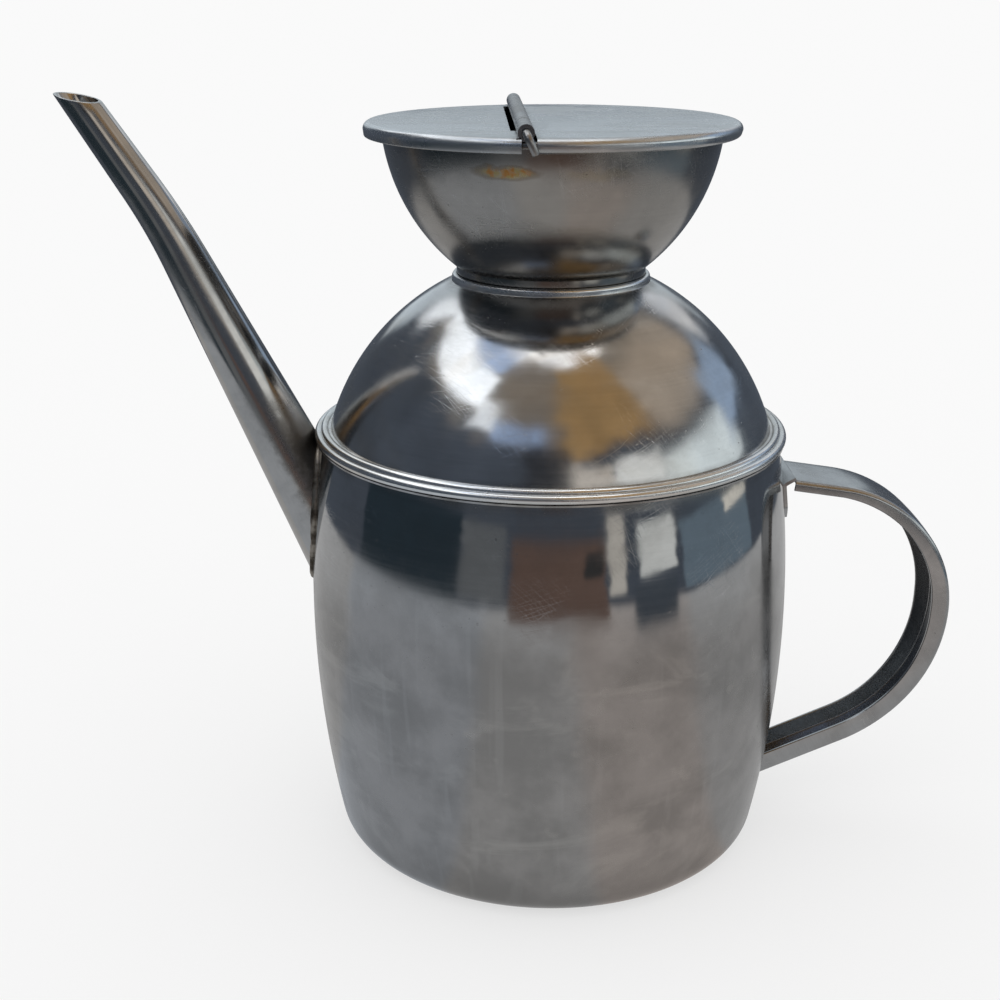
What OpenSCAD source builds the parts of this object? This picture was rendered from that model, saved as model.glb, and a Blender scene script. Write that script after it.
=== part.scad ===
// Oil dispenser: a barrel-shaped steel can with a seamed shoulder, a slanted
// spout, a strap handle and a lift-off filling funnel with a hinged half lid.
// Millimetres, +Z up, base face on z = 0, handle towards +X, spout towards -X.

/* [Body] */
// Largest outside diameter of the can
body_d = 110; // [100:0.5:120]
// Height of the widest point
belly_z = 56; // [50:0.5:60]
// Radius of the curve that swells the wall
wall_curve_r = 252; // [230:1:280]
// Radius of the corner round the base
base_corner_r = 7.2; // [5:0.1:9]
// Height of the joint inside the rolled seam
seam_z = 96.8; // [92:0.1:102]
// Sheet thickness of the can and the shoulder
sheet = 0.8; // [0.6:0.05:1]
// Diameter of the oil hole behind the spout
oil_hole_d = 11; // [9:0.5:12]

/* [Seam] */
// Distance the rolled seam stands out past the can's wall
seam_out = 1.5; // [1.3:0.1:2.2]
// Radius of the upper roll
roll_top_r = 0.9; // [0.8:0.05:1]
// Radius of the lower roll
roll_low_r = 1; // [0.8:0.05:1.2]
// Distance of the upper roll inside the lower one
roll_in = 1.3; // [1:0.1:1.6]
// Rise of the upper roll above the lower one
roll_rise = 0.95; // [0.7:0.05:1.1]
// Thickness of the lip turned out from the can
lip_t = 0.65; // [0.4:0.05:0.8]
// Distance of the lip's edge inside the lower roll's
lip_in = 0.3; // [0.3:0.1:0.8]

/* [Shoulder] */
// Distance of the shoulder's foot inside the can's outer wall
dome_inset = 1.4; // [1.2:0.1:2]
// Distance of that curve's centre past the axis
dome_offset = 0.9; // [0.5:0.1:1.5]
// Height of that curve's centre below the seam joint
dome_drop = 12.5; // [11.5:0.1:13]
// Outside diameter of the collar on the shoulder
collar_d = 43.6; // [43:0.1:46]
// Height of the collar above the shoulder
collar_h = 1.6; // [1.4:0.1:2.4]
// Wall of the collar
collar_t = 1.5; // [1.2:0.1:1.8]

/* [Funnel] */
// Width of the collar's top left bare round the funnel's foot
foot_step = 1; // [0.8:0.1:1.2]
// Depth of the spigot inside the collar
spigot_h = 5.8; // [4:0.1:8]
// Gap between the spigot and the collar
spigot_gap = 0.3; // [0.2:0.05:0.4]
// Radius of the bowl's curve
bowl_curve_r = 43; // [42:0.1:44]
// Distance of that curve's centre past the axis
bowl_offset = 6.1; // [5.5:0.1:6.5]
// Height of the bowl's foot above the collar
foot_h = 1.55; // [1:0.05:3]
// Sheet thickness of the bowl
bowl_sheet = 0.8; // [0.6:0.05:1]
// Diameter of one strainer hole
sieve_hole_d = 1.6; // [1:0.1:2]

/* [Lid] */
// Distance of the lid's edge past the bowl's side
lid_over = 3.87; // [3.4:0.01:4.6]
// Height of the lid's top above the collar
lid_rise = 32.6; // [32:0.1:34]
// Height of the lid's skirt
lid_h = 3; // [2.6:0.1:3.4]
// Sheet thickness of the lid
lid_t = 0.7; // [0.6:0.05:0.8]
// Rounding of the lid's edge
lid_edge_r = 1.1; // [0.9:0.05:1.3]
// Distance of the hinge line from the axis, towards the spout
hinge_offset = 7.1; // [5:0.1:9]
// Height of the hinge pin above the lid
hinge_rise = 0.95; // [0.9:0.05:1.4]
// Radius of the hinge knuckles
knuckle_r = 1.7; // [1.6:0.05:1.8]
// Length of the end knuckle at the pin's bent end
near_len = 14; // [10:0.5:18]
// Length of the other end knuckle
far_len = 6; // [5:0.5:14]
// Radius of the hinge pin
pin_r = 0.8; // [0.6:0.05:0.9]
// Running gap between the pin and the knuckles
pin_gap = 0.05; // [0.03:0.01:0.08]
// Radius of the bend at the pin's near end
pin_bend_r = 1.6; // [1.4:0.1:2]
// Lean of the pin's bent leg, in degrees
pin_lean_a = 25; // [0:1:40]

/* [Handle] */
// Half of the strap's width at the top
strap_top = 8.4; // [7.5:0.1:10]
// Half of the strap's width at the foot
strap_low = 5.6; // [4.5:0.1:6.5]
// Sheet thickness of the strap
strap_t = 0.8; // [0.6:0.05:1]
// Farthest reach of the strap past the can's widest point
strap_out = 39.05; // [35:0.05:43]
// Height of the strap's farthest point
strap_reach_z = 53.85; // [52:0.05:58]
// Radius of the strap's upper bend
bend_up_r = 31.8; // [30:0.1:33]
// Radius of the strap's lower bend
bend_low_r = 37.6; // [36:0.1:40]
// Slope of the strap's upper run, in degrees
run_up_a = 8.5; // [6:0.1:12]
// Slope of the strap's lower run, in degrees
run_low_a = 23.5; // [18:0.1:26]
// Depth of the turned-in edges along the upper run
edge_up = 2.6; // [2.2:0.1:3.4]
// Depth of the turned-in edges at the farthest point
edge_mid = 4.7; // [3:0.1:5.2]
// Depth of the turned-in edges along the lower run
edge_low = 4.8; // [3.4:0.1:5.4]
// Depth to which the strap's ends are drawn inside the can's widest outline
strap_bury = 8; // [6:0.5:12]
// Height where the strap starts to widen
strap_widen_z = 24; // [15:0.5:35]
// Distance of the strap's full width below the end of its upper bend
strap_wide_drop = 6; // [3:0.5:10]
// Distance of the strap's crease from the can's wall
tab_gap = 2.4; // [1.5:0.1:3.5]
// Height of the slanted corners at the tab's lower end
tab_corner_h = 4; // [2:0.5:6]
// Width left between those corners
tab_end_w = 8; // [5:0.5:12]
// Height of the tab that holds the strap's upper end
tab_h = 9.1; // [7:0.1:12]

/* [Spout] */
// Outside radius of the spout at its bend
spout_r = 4.6; // [4.2:0.05:5.6]
// Radius of the spout's upper part at the bend, less than the lower part's by this step
bend_step = 0.15; // [0.1:0.05:0.4]
// Narrowing of the spout's radius from its bend to its mouth
spout_taper = 0.65; // [0.4:0.05:1]
// Wall of the spout
spout_t = 0.6; // [0.5:0.05:0.7]
// Reach of the spout's bend past the can's widest point
bend_out = 29; // [27:0.1:33]
// Height of the spout's bend
bend_z = 144.67; // [140:0.01:150]
// Depth of the spout's upper part inside the lower one
bend_lap = 0.8; // [0.5:0.05:1]
// Slope of the part above the bend, in degrees
tip_a = 57.5; // [55:0.1:62]
// Angle by which the part below the bend is steeper, in degrees
turn_a = 7.2; // [3:0.1:10]
// Widening of the lower part to each side, in degrees
flare_a = 2.85; // [2.5:0.05:3.6]
// Lowest point of the spout's root
root_low_z = 66; // [62:0.5:70]
// Height of the middle of the spout's mouth
mouth_z = 170.9; // [166:0.1:176]
// Slope of the cut across the mouth, in degrees
mouth_a = 10; // [4:0.5:20]
// Lean of that cut towards the pourer's left, in degrees
mouth_lean_a = 6; // [0:0.5:10]
// Width of the brazed band round the spout's root
braze_w = 1.3; // [0.8:0.1:1.6]
// Thickness of that band
braze_h = 0.7; // [0.5:0.1:1]

/* [Hidden] */
far = 400;
steel = [0.62, 0.63, 0.64];
bright = [0.74, 0.76, 0.78];
dull = [0.5, 0.5, 0.49];
grime = [0.25, 0.23, 0.2];

wall_cx = body_d / 2 - wall_curve_r;
corner_x = wall_cx + sqrt(pow(wall_curve_r - base_corner_r, 2) - pow(base_corner_r - belly_z, 2));
corner_a = atan2(base_corner_r - belly_z, corner_x - wall_cx);
corner_z = belly_z + wall_curve_r * sin(corner_a);
lip_z = seam_z - lip_t;
seam_gap = 0.2;
seam_wall_r = wall_r(seam_z);
seam_r = seam_wall_r + seam_out;

dome_cz = seam_z - dome_drop;
dome_foot_r = seam_wall_r - dome_inset;
dome_curve_r = sqrt(pow(dome_foot_r + dome_offset, 2) + pow(dome_drop, 2));
collar_r = collar_d / 2;
collar_base_z = dome_z(collar_r);
neck_z = collar_base_z + collar_h;
hole_r = collar_r - collar_t;

spigot_r = hole_r - spigot_gap;
foot_r = collar_r - foot_step;
foot_top_z = neck_z + foot_h;
bowl_cz = foot_top_z + sqrt(pow(bowl_curve_r, 2) - pow(foot_r + bowl_offset, 2));
lid_z = neck_z + lid_rise;
lid_gap = 0.2;
crimp_t = 0.7;
knuckle_gap = 0.3;
knuckle_inset = 1;
pin_gap_y = 0.2;
pin_over = 0.5;
rim_z = lid_z - lid_t - lid_gap;
rim_low_z = lid_z - lid_h + crimp_t;
lid_r = bowl_r(rim_low_z) + lid_over;
rim_gap = 0.5;
rim_r = lid_r - lid_t - rim_gap;
rim_root_r = bowl_r(rim_low_z) - bowl_sheet / 2;
sieve_z = neck_z - spigot_h + bowl_sheet;

hinge_x = -hinge_offset;
hinge_z = lid_z + hinge_rise;
hinge_half = sqrt(pow(lid_r, 2) - pow(hinge_offset, 2)) - knuckle_inset;
mid_y0 = -hinge_half + near_len + knuckle_gap;
mid_y1 = hinge_half - far_len - knuckle_gap;

strap_reach = body_d / 2 + strap_out;
strap_z0 = strap_reach_z + bend_up_r * cos(run_up_a);
strap_x0 = strap_reach - bend_up_r * (1 - sin(run_up_a));
crease_x = wall_r(strap_z0) + tab_gap;
crease_z = strap_z0 + (strap_x0 - crease_x) * tan(run_up_a);
tab_top_z = crease_z - tab_gap / 2;
tab_low_z = tab_top_z - tab_h;

bend_x = body_d / 2 + bend_out;
root_a = tip_a + turn_a;
oil_guess_z = bend_z - bend_out * tan(root_a);
oil_z = bend_z - (bend_x - wall_r(oil_guess_z)) * tan(root_a);
root_len = (bend_z - root_low_z) / sin(root_a) + spout_r;
mouth_len = (mouth_z - bend_z) / sin(tip_a);
tip_len = mouth_len + 3 * spout_r;
tip_r = spout_r - bend_step - spout_taper * tip_len / mouth_len;
mouth_x = bend_x + (mouth_z - bend_z) / tan(tip_a);

function wall_r(z) = wall_cx + sqrt(pow(wall_curve_r, 2) - pow(z - belly_z, 2));
function bowl_r(z) = sqrt(pow(bowl_curve_r, 2) - pow(z - bowl_cz, 2)) - bowl_offset;
function dome_z(r) = dome_cz + sqrt(pow(dome_curve_r, 2) - pow(r + dome_offset, 2));

// Half section of the can, drawn in by inset on the outside and the floor
module can_section(inset, top) {
    intersection() {
        translate([wall_cx, belly_z]) circle(r = wall_curve_r - inset, $fn = 900);
        translate([0, corner_z]) square([body_d, top - corner_z]);
    }
    intersection() {
        translate([corner_x, base_corner_r]) circle(r = base_corner_r - inset, $fn = 96);
        square([body_d, corner_z + 0.01]);
    }
    translate([0, inset]) square([corner_x, corner_z - inset + 0.01]);
}

// Solid of the can's outside, swollen by extra, for trimming what is joined to it
module can_block(extra) {
    rotate_extrude($fn = 180)
        intersection() {
            translate([wall_cx, belly_z]) circle(r = wall_curve_r + extra, $fn = 900);
            translate([0, -1]) square([body_d, seam_z + 1]);
        }
}

module body_wall() {
    color(steel)
    difference() {
        rotate_extrude($fn = 180)
            difference() {
                union() {
                    can_section(0, seam_z);
                    translate([0, lip_z]) square([seam_r - lip_in, lip_t]);
                }
                can_section(sheet, seam_z + 1);
                translate([-1, -1]) square([corner_x + 1, seam_z + 3]);
            }
        translate([-body_d / 2 - oil_hole_d / 2, 0, oil_z])
            rotate([0, 90, 0])
                cylinder(d = oil_hole_d, h = oil_hole_d, $fn = 48);
    }
}

module body_floor() {
    color(steel) cylinder(r = corner_x, h = sheet, $fn = 180);
}

module seam_ring() {
    low_x = seam_r - roll_low_r;
    low_z = seam_z + roll_low_r;
    color(bright)
    rotate_extrude($fn = 180)
        difference() {
            union() {
                translate([dome_foot_r - roll_in / 2, seam_z])
                    square([low_x - dome_foot_r + roll_in / 2, roll_low_r + roll_rise / 2]);
                translate([low_x - roll_in, low_z + roll_rise])
                    circle(r = roll_top_r, $fn = 48);
                translate([low_x, low_z]) circle(r = roll_low_r, $fn = 48);
            }
            translate([-dome_offset, dome_cz]) circle(r = dome_curve_r, $fn = 360);
        }
}

module shoulder_dome() {
    color(bright)
    rotate_extrude($fn = 180)
        intersection() {
            difference() {
                translate([-dome_offset, dome_cz]) circle(r = dome_curve_r, $fn = 360);
                translate([-dome_offset, dome_cz]) circle(r = dome_curve_r - sheet, $fn = 360);
            }
            translate([hole_r, seam_z]) square([body_d, dome_curve_r]);
        }
}

module neck_collar() {
    round_r = collar_t / 2;
    color(bright)
    rotate_extrude($fn = 180)
        difference() {
            union() {
                translate([hole_r, collar_base_z - 2])
                    square([collar_t, neck_z - collar_base_z + 2 - round_r * 0.6]);
                intersection() {
                    translate([collar_r - round_r, neck_z - round_r]) circle(r = round_r, $fn = 48);
                    translate([hole_r, 0]) square([collar_t, far]);
                }
                translate([hole_r, neck_z - round_r]) square([round_r, round_r]);
            }
            translate([-dome_offset, dome_cz]) circle(r = dome_curve_r, $fn = 360);
        }
}

// Upper and lower parts of the spout, grown by grow on every side
module spout_solid(grow) {
    bend_r = spout_r + grow;
    translate([-bend_x, 0, bend_z]) {
        rotate([0, tip_a - 90, 0]) rotate([0, 0, 90]) translate([0, 0, -bend_lap])
            cylinder(r1 = bend_r - bend_step, r2 = tip_r + grow, h = tip_len, $fn = 64);
        rotate([0, 90 + root_a, 0])
            cylinder(r1 = bend_r, r2 = bend_r + root_len * tan(flare_a), h = root_len, $fn = 64);
    }
}

module spout_tube() {
    color(dull)
    difference() {
        spout_solid(0);
        spout_solid(-spout_t);
        can_block(0);
        translate([-mouth_x, 0, mouth_z]) rotate([mouth_lean_a, mouth_a, 0])
            translate([-far / 2, -far / 2, 0]) cube(far);
    }
}

module spout_braze() {
    color(grime)
    difference() {
        intersection() {
            can_block(braze_h);
            spout_solid(braze_w);
            translate([-body_d, -body_d / 2, belly_z / 2])
                cube([body_d, body_d, lip_z - belly_z / 2 - seam_gap]);
        }
        can_block(0);
        spout_solid(0);
    }
}

// Side view of everything inside the strap's outer curve, drawn in by up_in
// along the upper run, by bend_in at the farthest point and by low_in below
module strap_side(up_in, bend_in, low_in) {
    up_s = sin(run_up_a);
    low_s = sin(run_low_a);
    up_r = bend_up_r - (up_in - up_s * bend_in) / (1 - up_s);
    low_r = bend_low_r - (low_in - low_s * bend_in) / (1 - low_s);
    edge_x = strap_reach - bend_in;
    up_c = [edge_x - up_r, strap_reach_z];
    low_c = [edge_x - low_r, strap_reach_z];
    up_end = up_c + up_r * [up_s, cos(run_up_a)];
    low_end = low_c + low_r * [low_s, -cos(run_low_a)];
    left_x = body_d / 2 - strap_bury;
    intersection() {
        translate(up_c) circle(r = up_r, $fn = 240);
        polygon([up_c, up_c + far * [up_s, cos(run_up_a)], [far, far], [far, up_c[1]]]);
    }
    intersection() {
        translate(low_c) circle(r = low_r, $fn = 240);
        polygon([low_c, [far, low_c[1]], [far, -far], low_c + far * [low_s, -cos(run_low_a)]]);
    }
    polygon([[left_x, up_end[1] + (up_end[0] - left_x) * tan(run_up_a)],
             up_end,
             [edge_x, strap_reach_z],
             low_end,
             [left_x, low_end[1] - (low_end[0] - left_x) * tan(run_low_a)]]);
}

// Tapered outline of the strap seen along X, drawn in by inset
module strap_front(inset) {
    top = strap_z0 - strap_wide_drop;
    rotate([90, 0, 90])
        linear_extrude(height = far)
            polygon([[-strap_low + inset, 0], [strap_low - inset, 0],
                     [strap_low - inset, strap_widen_z],
                     [strap_top - inset, top], [strap_top - inset, far],
                     [-strap_top + inset, far], [-strap_top + inset, top],
                     [-strap_low + inset, strap_widen_z]]);
}

// Band under the strap's outer curve, as deep as stated at the three places
module strap_band(up_in, bend_in, low_in) {
    rotate([90, 0, 0])
        translate([0, 0, -far / 2])
            linear_extrude(height = far)
                difference() {
                    strap_side(0, 0, 0);
                    strap_side(up_in, bend_in, low_in);
                }
}

module handle_strap() {
    color(steel) {
        difference() {
            union() {
                intersection() {
                    strap_band(strap_t, strap_t, strap_t);
                    strap_front(0);
                }
                intersection() {
                    difference() {
                        strap_band(edge_up, edge_mid, edge_low);
                        strap_front(strap_t);
                    }
                    strap_front(0);
                }
            }
            can_block(0);
            translate([0, -far / 2, strap_reach_z]) cube([crease_x, far, far]);
        }
        intersection() {
            difference() {
                can_block(strap_t);
                can_block(0);
            }
            rotate([90, 0, 90])
                linear_extrude(height = far)
                    polygon([[-strap_top, tab_top_z], [strap_top, tab_top_z],
                             [strap_top, tab_low_z + tab_corner_h],
                             [tab_end_w / 2, tab_low_z], [-tab_end_w / 2, tab_low_z],
                             [-strap_top, tab_low_z + tab_corner_h]]);
        }
        difference() {
            rotate([90, 0, 0])
                translate([0, 0, -strap_top])
                    linear_extrude(height = 2 * strap_top)
                        polygon([[crease_x, crease_z],
                                 [crease_x, crease_z - strap_t],
                                 [crease_x - tab_gap, tab_top_z - strap_t],
                                 [crease_x - 2.5 * tab_gap, tab_top_z - strap_t],
                                 [crease_x - 2.5 * tab_gap, tab_top_z],
                                 [crease_x - tab_gap, tab_top_z]]);
            can_block(0);
        }
    }
}

module funnel_bowl() {
    color(dull)
    rotate_extrude($fn = 180) {
        intersection() {
            difference() {
                translate([-bowl_offset, bowl_cz]) circle(r = bowl_curve_r, $fn = 360);
                translate([-bowl_offset, bowl_cz]) circle(r = bowl_curve_r - bowl_sheet, $fn = 360);
            }
            translate([0, foot_top_z]) square([far, rim_z - foot_top_z]);
        }
        translate([rim_root_r, rim_low_z]) square([rim_r - rim_root_r, rim_z - rim_low_z]);
    }
}

module funnel_spigot() {
    inner_r = spigot_r - bowl_sheet;
    base_z = neck_z - spigot_h;
    color(dull)
    rotate_extrude($fn = 180) {
        translate([inner_r, neck_z]) square([foot_r - inner_r, foot_top_z - neck_z]);
        translate([inner_r, base_z]) square([bowl_sheet, spigot_h + 0.5]);
        translate([inner_r - 0.8, base_z]) square([1, bowl_sheet]);
    }
}

module strainer() {
    disc_r = spigot_r - bowl_sheet;
    color(bright)
    difference() {
        translate([0, 0, sieve_z]) cylinder(r = disc_r, h = 1.3, $fn = 96);
        translate([0, 0, sieve_z + 0.6]) cylinder(r = disc_r - 0.7, h = 3, $fn = 96);
        for (ring = [0 : 4])
            for (k = [0 : max(1, 6 * ring) - 1])
                rotate([0, 0, k * 360 / max(1, 6 * ring)])
                    translate([ring * 3.6, 0, sieve_z - 1])
                        cylinder(d = sieve_hole_d, h = 3, $fn = 24);
    }
}

// Half section of the whole lid, with or without the lip crimped under the rim
module lid_section(crimp) {
    difference() {
        union() {
            translate([0, lid_z - lid_h]) square([lid_r, lid_h - lid_edge_r]);
            translate([0, lid_z - lid_h]) square([lid_r - lid_edge_r, lid_h]);
            translate([lid_r - lid_edge_r, lid_z - lid_edge_r]) circle(r = lid_edge_r, $fn = 48);
        }
        translate([-1, lid_z - lid_h - 1]) square([lid_r - lid_edge_r + 1, lid_h + 1 - lid_t]);
        translate([-1, lid_z - lid_h - 1]) square([lid_r - lid_t + 1, lid_h + 1 - lid_edge_r]);
        translate([lid_r - lid_edge_r, lid_z - lid_edge_r])
            circle(r = lid_edge_r - lid_t, $fn = 48);
    }
    if (crimp)
        translate([rim_r - 0.6, lid_z - lid_h]) square([lid_r - rim_r + 0.6 - 0.1, crimp_t]);
}

// Hinge knuckle from y0 to y1 with its root on one side, bored for the pin
module knuckle(y0, y1, side) {
    root_x = side > 0 ? hinge_x : hinge_x - knuckle_r;
    difference() {
        union() {
            translate([hinge_x, y1, hinge_z])
                rotate([90, 0, 0]) cylinder(r = knuckle_r, h = y1 - y0, $fn = 48);
            translate([root_x, y0, lid_z - lid_t])
                cube([knuckle_r, y1 - y0, hinge_rise + lid_t]);
        }
        translate([hinge_x, y1 + 1, hinge_z])
            rotate([90, 0, 0]) cylinder(r = pin_r + pin_gap, h = y1 - y0 + 2, $fn = 48);
    }
}

module lid_fixed() {
    clear_x = hinge_x + knuckle_r + 0.4;
    color(bright) {
        difference() {
            rotate_extrude($fn = 180) lid_section(true);
            translate([-far, -far / 2, 0]) cube([far + hinge_x + 0.15, far, far]);
            translate([-far, mid_y0 - knuckle_gap / 2 - far, 0])
                cube([far + clear_x, far, far]);
            translate([-far, mid_y1 + knuckle_gap / 2, 0])
                cube([far + clear_x, far, far]);
        }
        knuckle(mid_y0, mid_y1, 1);
    }
}

module lid_flap() {
    slot_x = hinge_x - knuckle_r - 0.9;
    color(bright) {
        difference() {
            rotate_extrude($fn = 180) lid_section(false);
            translate([hinge_x - 0.3, -far / 2, 0]) cube([far, far, far]);
            translate([slot_x, mid_y0 - knuckle_gap, 0])
                cube([far, mid_y1 - mid_y0 + 2 * knuckle_gap, far]);
        }
        knuckle(-hinge_half, -hinge_half + near_len, -1);
        knuckle(hinge_half - far_len, hinge_half, -1);
    }
}

module hinge_pin() {
    bend_y = pin_bend_r - lid_r - pin_r - pin_gap_y;
    leg = (hinge_z - pin_bend_r - lid_z + lid_h + pin_gap_y) / cos(pin_lean_a);
    color(dull)
    translate([hinge_x, bend_y, hinge_z])
        rotate([0, -pin_lean_a, 0]) {
            rotate([-90, 0, 0]) cylinder(r = pin_r, h = hinge_half + pin_over - bend_y, $fn = 48);
            translate([0, 0, -pin_bend_r])
                rotate([180, -90, 0])
                    rotate_extrude(angle = 90, $fn = 48)
                        translate([pin_bend_r, 0]) circle(r = pin_r, $fn = 48);
            translate([0, -pin_bend_r, -pin_bend_r - leg]) cylinder(r = pin_r, h = leg, $fn = 48);
        }
}

body_wall();
body_floor();
seam_ring();
shoulder_dome();
neck_collar();
spout_tube();
spout_braze();
handle_strap();
funnel_bowl();
funnel_spigot();
strainer();
lid_fixed();
hinge_pin();
lid_flap();
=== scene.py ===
"""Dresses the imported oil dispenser: a steel can with a domed shoulder, a spout, a
strap handle and a filling funnel under a half lid that hinges open.

Meshes are drawn in millimetres and written in metres, in the frame of the CAD model.
"""
import logging
import math
from dataclasses import dataclass, field
from enum import Enum
from typing import Any, Iterable, Sequence

import bmesh
import bpy
from mathutils import Matrix, Vector, noise


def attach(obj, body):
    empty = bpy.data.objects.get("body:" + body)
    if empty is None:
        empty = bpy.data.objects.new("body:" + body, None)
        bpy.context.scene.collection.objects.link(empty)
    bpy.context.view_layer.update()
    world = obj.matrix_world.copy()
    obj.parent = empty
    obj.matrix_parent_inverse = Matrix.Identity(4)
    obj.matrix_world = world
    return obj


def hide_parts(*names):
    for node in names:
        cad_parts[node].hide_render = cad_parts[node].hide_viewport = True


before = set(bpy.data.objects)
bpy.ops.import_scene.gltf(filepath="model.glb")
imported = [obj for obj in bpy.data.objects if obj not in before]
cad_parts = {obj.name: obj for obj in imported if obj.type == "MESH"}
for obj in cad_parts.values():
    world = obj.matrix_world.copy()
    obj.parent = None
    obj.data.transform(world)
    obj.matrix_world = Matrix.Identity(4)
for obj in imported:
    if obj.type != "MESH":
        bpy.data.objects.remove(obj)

LOG = logging.getLogger("oil_dispenser")
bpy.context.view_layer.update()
MM = 0.001
FULL_TURN = 2 * math.pi
WELD_DIST = 1e-4
SHARP_ANGLE = math.radians(38)
ROUND_STEPS = 192
COLOUR = tuple[float, float, float]


class Value:
    """A shader socket that can be used in arithmetic."""

    def __init__(self, graph: "Graph", socket: bpy.types.NodeSocket) -> None:
        """Wraps one output socket of a graph."""
        self.graph = graph
        self.socket = socket

    def calc(self, operation: str, *others: "Value | float") -> "Value":
        """Adds a Math node on this value and the others."""
        inputs = dict(enumerate((self, *others)))
        return self.graph.node("ShaderNodeMath", {"operation": operation}, inputs)

    def __add__(self, other: "Value | float") -> "Value":
        """Sum."""
        return self.calc("ADD", other)

    def __sub__(self, other: "Value | float") -> "Value":
        """Difference."""
        return self.calc("SUBTRACT", other)

    def __rsub__(self, other: float) -> "Value":
        """Number minus this value."""
        return self.graph.number(other).calc("SUBTRACT", self)

    def __mul__(self, other: "Value | float") -> "Value":
        """Product."""
        return self.calc("MULTIPLY", other)

    def __truediv__(self, other: "Value | float") -> "Value":
        """Quotient."""
        return self.calc("DIVIDE", other)

    __radd__ = __add__
    __rmul__ = __mul__

    def root(self) -> "Value":
        """Square root."""
        return self.calc("SQRT")

    def size(self) -> "Value":
        """Absolute value."""
        return self.calc("ABSOLUTE")

    def least(self, other: "Value") -> "Value":
        """The smaller of this value and another."""
        return self.calc("MINIMUM", other)

    def angle(self, across: "Value") -> "Value":
        """Angle of the direction (across, this value)."""
        return self.calc("ARCTAN2", across)

    def step(self, start: float, end: float) -> "Value":
        """Smooth rise from 0 at start to 1 at end; it falls when end is below start."""
        low, high = min(start, end), max(start, end)
        rise = self.graph.node(
            "ShaderNodeMapRange",
            {"interpolation_type": "SMOOTHSTEP"},
            {"Value": self, "From Min": low, "From Max": high},
        )
        return rise if start < end else 1 - rise

    def band(self, middle: float, half: float, soft: float) -> "Value":
        """1 within half of the middle, falling to 0 over soft on both sides."""
        return (self - middle).size().step(half + soft, half)


class Graph:
    """The node tree of one material, with the surface's own coordinates in millimetres."""

    def __init__(self, name: str) -> None:
        """Starts a material with an empty tree."""
        self.material = bpy.data.materials.new(name)
        self.material.use_nodes = True
        self.tree = self.material.node_tree
        self.tree.nodes.clear()

    def node(self, kind: str, settings: dict[str, Any], inputs: dict[Any, Any],
             output: int | str = 0) -> Value:
        """Adds a node.

        Args:
            kind: The node's type.
            settings: Its properties, set first.
            inputs: A value, number, vector or colour for each socket's name or index.
            output: Name or index of the socket to return.

        Returns:
            The chosen output.
        """
        made = self.tree.nodes.new(kind)
        for key, setting in settings.items():
            setattr(made, key, setting)
        for key, given in inputs.items():
            if isinstance(given, Value):
                self.tree.links.new(given.socket, made.inputs[key])
            else:
                made.inputs[key].default_value = given
        return Value(self, made.outputs[output])

    def number(self, given: float) -> Value:
        """A constant."""
        return self.node("ShaderNodeMath", {"operation": "ADD"}, {0: given, 1: 0.0})

    def place(self) -> Value:
        """The surface point in millimetres, as a vector."""
        point = self.node("ShaderNodeTexCoord", {}, {}, "Object")
        scaled = {"operation": "SCALE"}
        return self.node("ShaderNodeVectorMath", scaled, {0: point, "Scale": 1 / MM})

    def split(self, vector: Value) -> tuple[Value, Value, Value]:
        """The three parts of a vector."""
        apart = self.tree.nodes.new("ShaderNodeSeparateXYZ")
        self.tree.links.new(vector.socket, apart.inputs[0])
        return tuple(Value(self, socket) for socket in apart.outputs)

    def join(self, x: Value | float, y: Value | float, z: Value | float) -> Value:
        """A vector from three parts."""
        return self.node("ShaderNodeCombineXYZ", {}, {0: x, 1: y, 2: z})

    def cloud(self, where: Value, scale: float, detail: float = 3.0,
              rough: float = 0.55, warp: float = 0.0) -> Value:
        """Fractal noise from about 0.3 to 0.7 round 0.5.

        Args:
            where: The vector it is read at.
            scale: Its frequency.
            detail: Number of octaves.
            rough: Strength of the finer octaves.
            warp: Distortion.

        Returns:
            The noise's value.
        """
        inputs = {"Vector": where, "Scale": scale, "Detail": detail,
                  "Roughness": rough, "Distortion": warp}
        return self.node("ShaderNodeTexNoise", {}, inputs, "Fac")

    def mix(self, below: Value | COLOUR, above: Value | COLOUR, share: Value | float,
            blend: str = "MIX") -> Value:
        """Colour mixed from two, by the share of the second."""
        def full(colour: Value | COLOUR) -> Any:
            """A colour with its alpha, or a socket as it is."""
            return colour if isinstance(colour, Value) else (*colour, 1.0)
        settings = {"data_type": "RGBA", "blend_type": blend}
        return self.node("ShaderNodeMix", settings,
                         {0: share, 6: full(below), 7: full(above)}, 2)

    def bump(self, height: Value, depth_mm: float, below: Value | None = None) -> Value:
        """Normal from a height of 0 to 1 that stands for a depth in millimetres."""
        inputs: dict[Any, Any] = {"Height": height, "Distance": depth_mm * MM}
        if below is not None:
            inputs["Normal"] = below
        return self.node("ShaderNodeBump", {}, inputs)

    def output(self, shader: Value) -> bpy.types.Material:
        """Joins a shader to the output and returns the material."""
        end = self.tree.nodes.new("ShaderNodeOutputMaterial")
        self.tree.links.new(shader.socket, end.inputs["Surface"])
        return self.material


class Flow(Enum):
    """How the fine polishing lines run on a surface."""

    WALL = "round the axis, stacked in height"
    DOME = "round the axis, over the shoulder"
    BOWL = "round the axis, over the bowl"
    DISC = "round the axis, over a flat disc"
    LONG = "along a length in the XZ plane"


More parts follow.
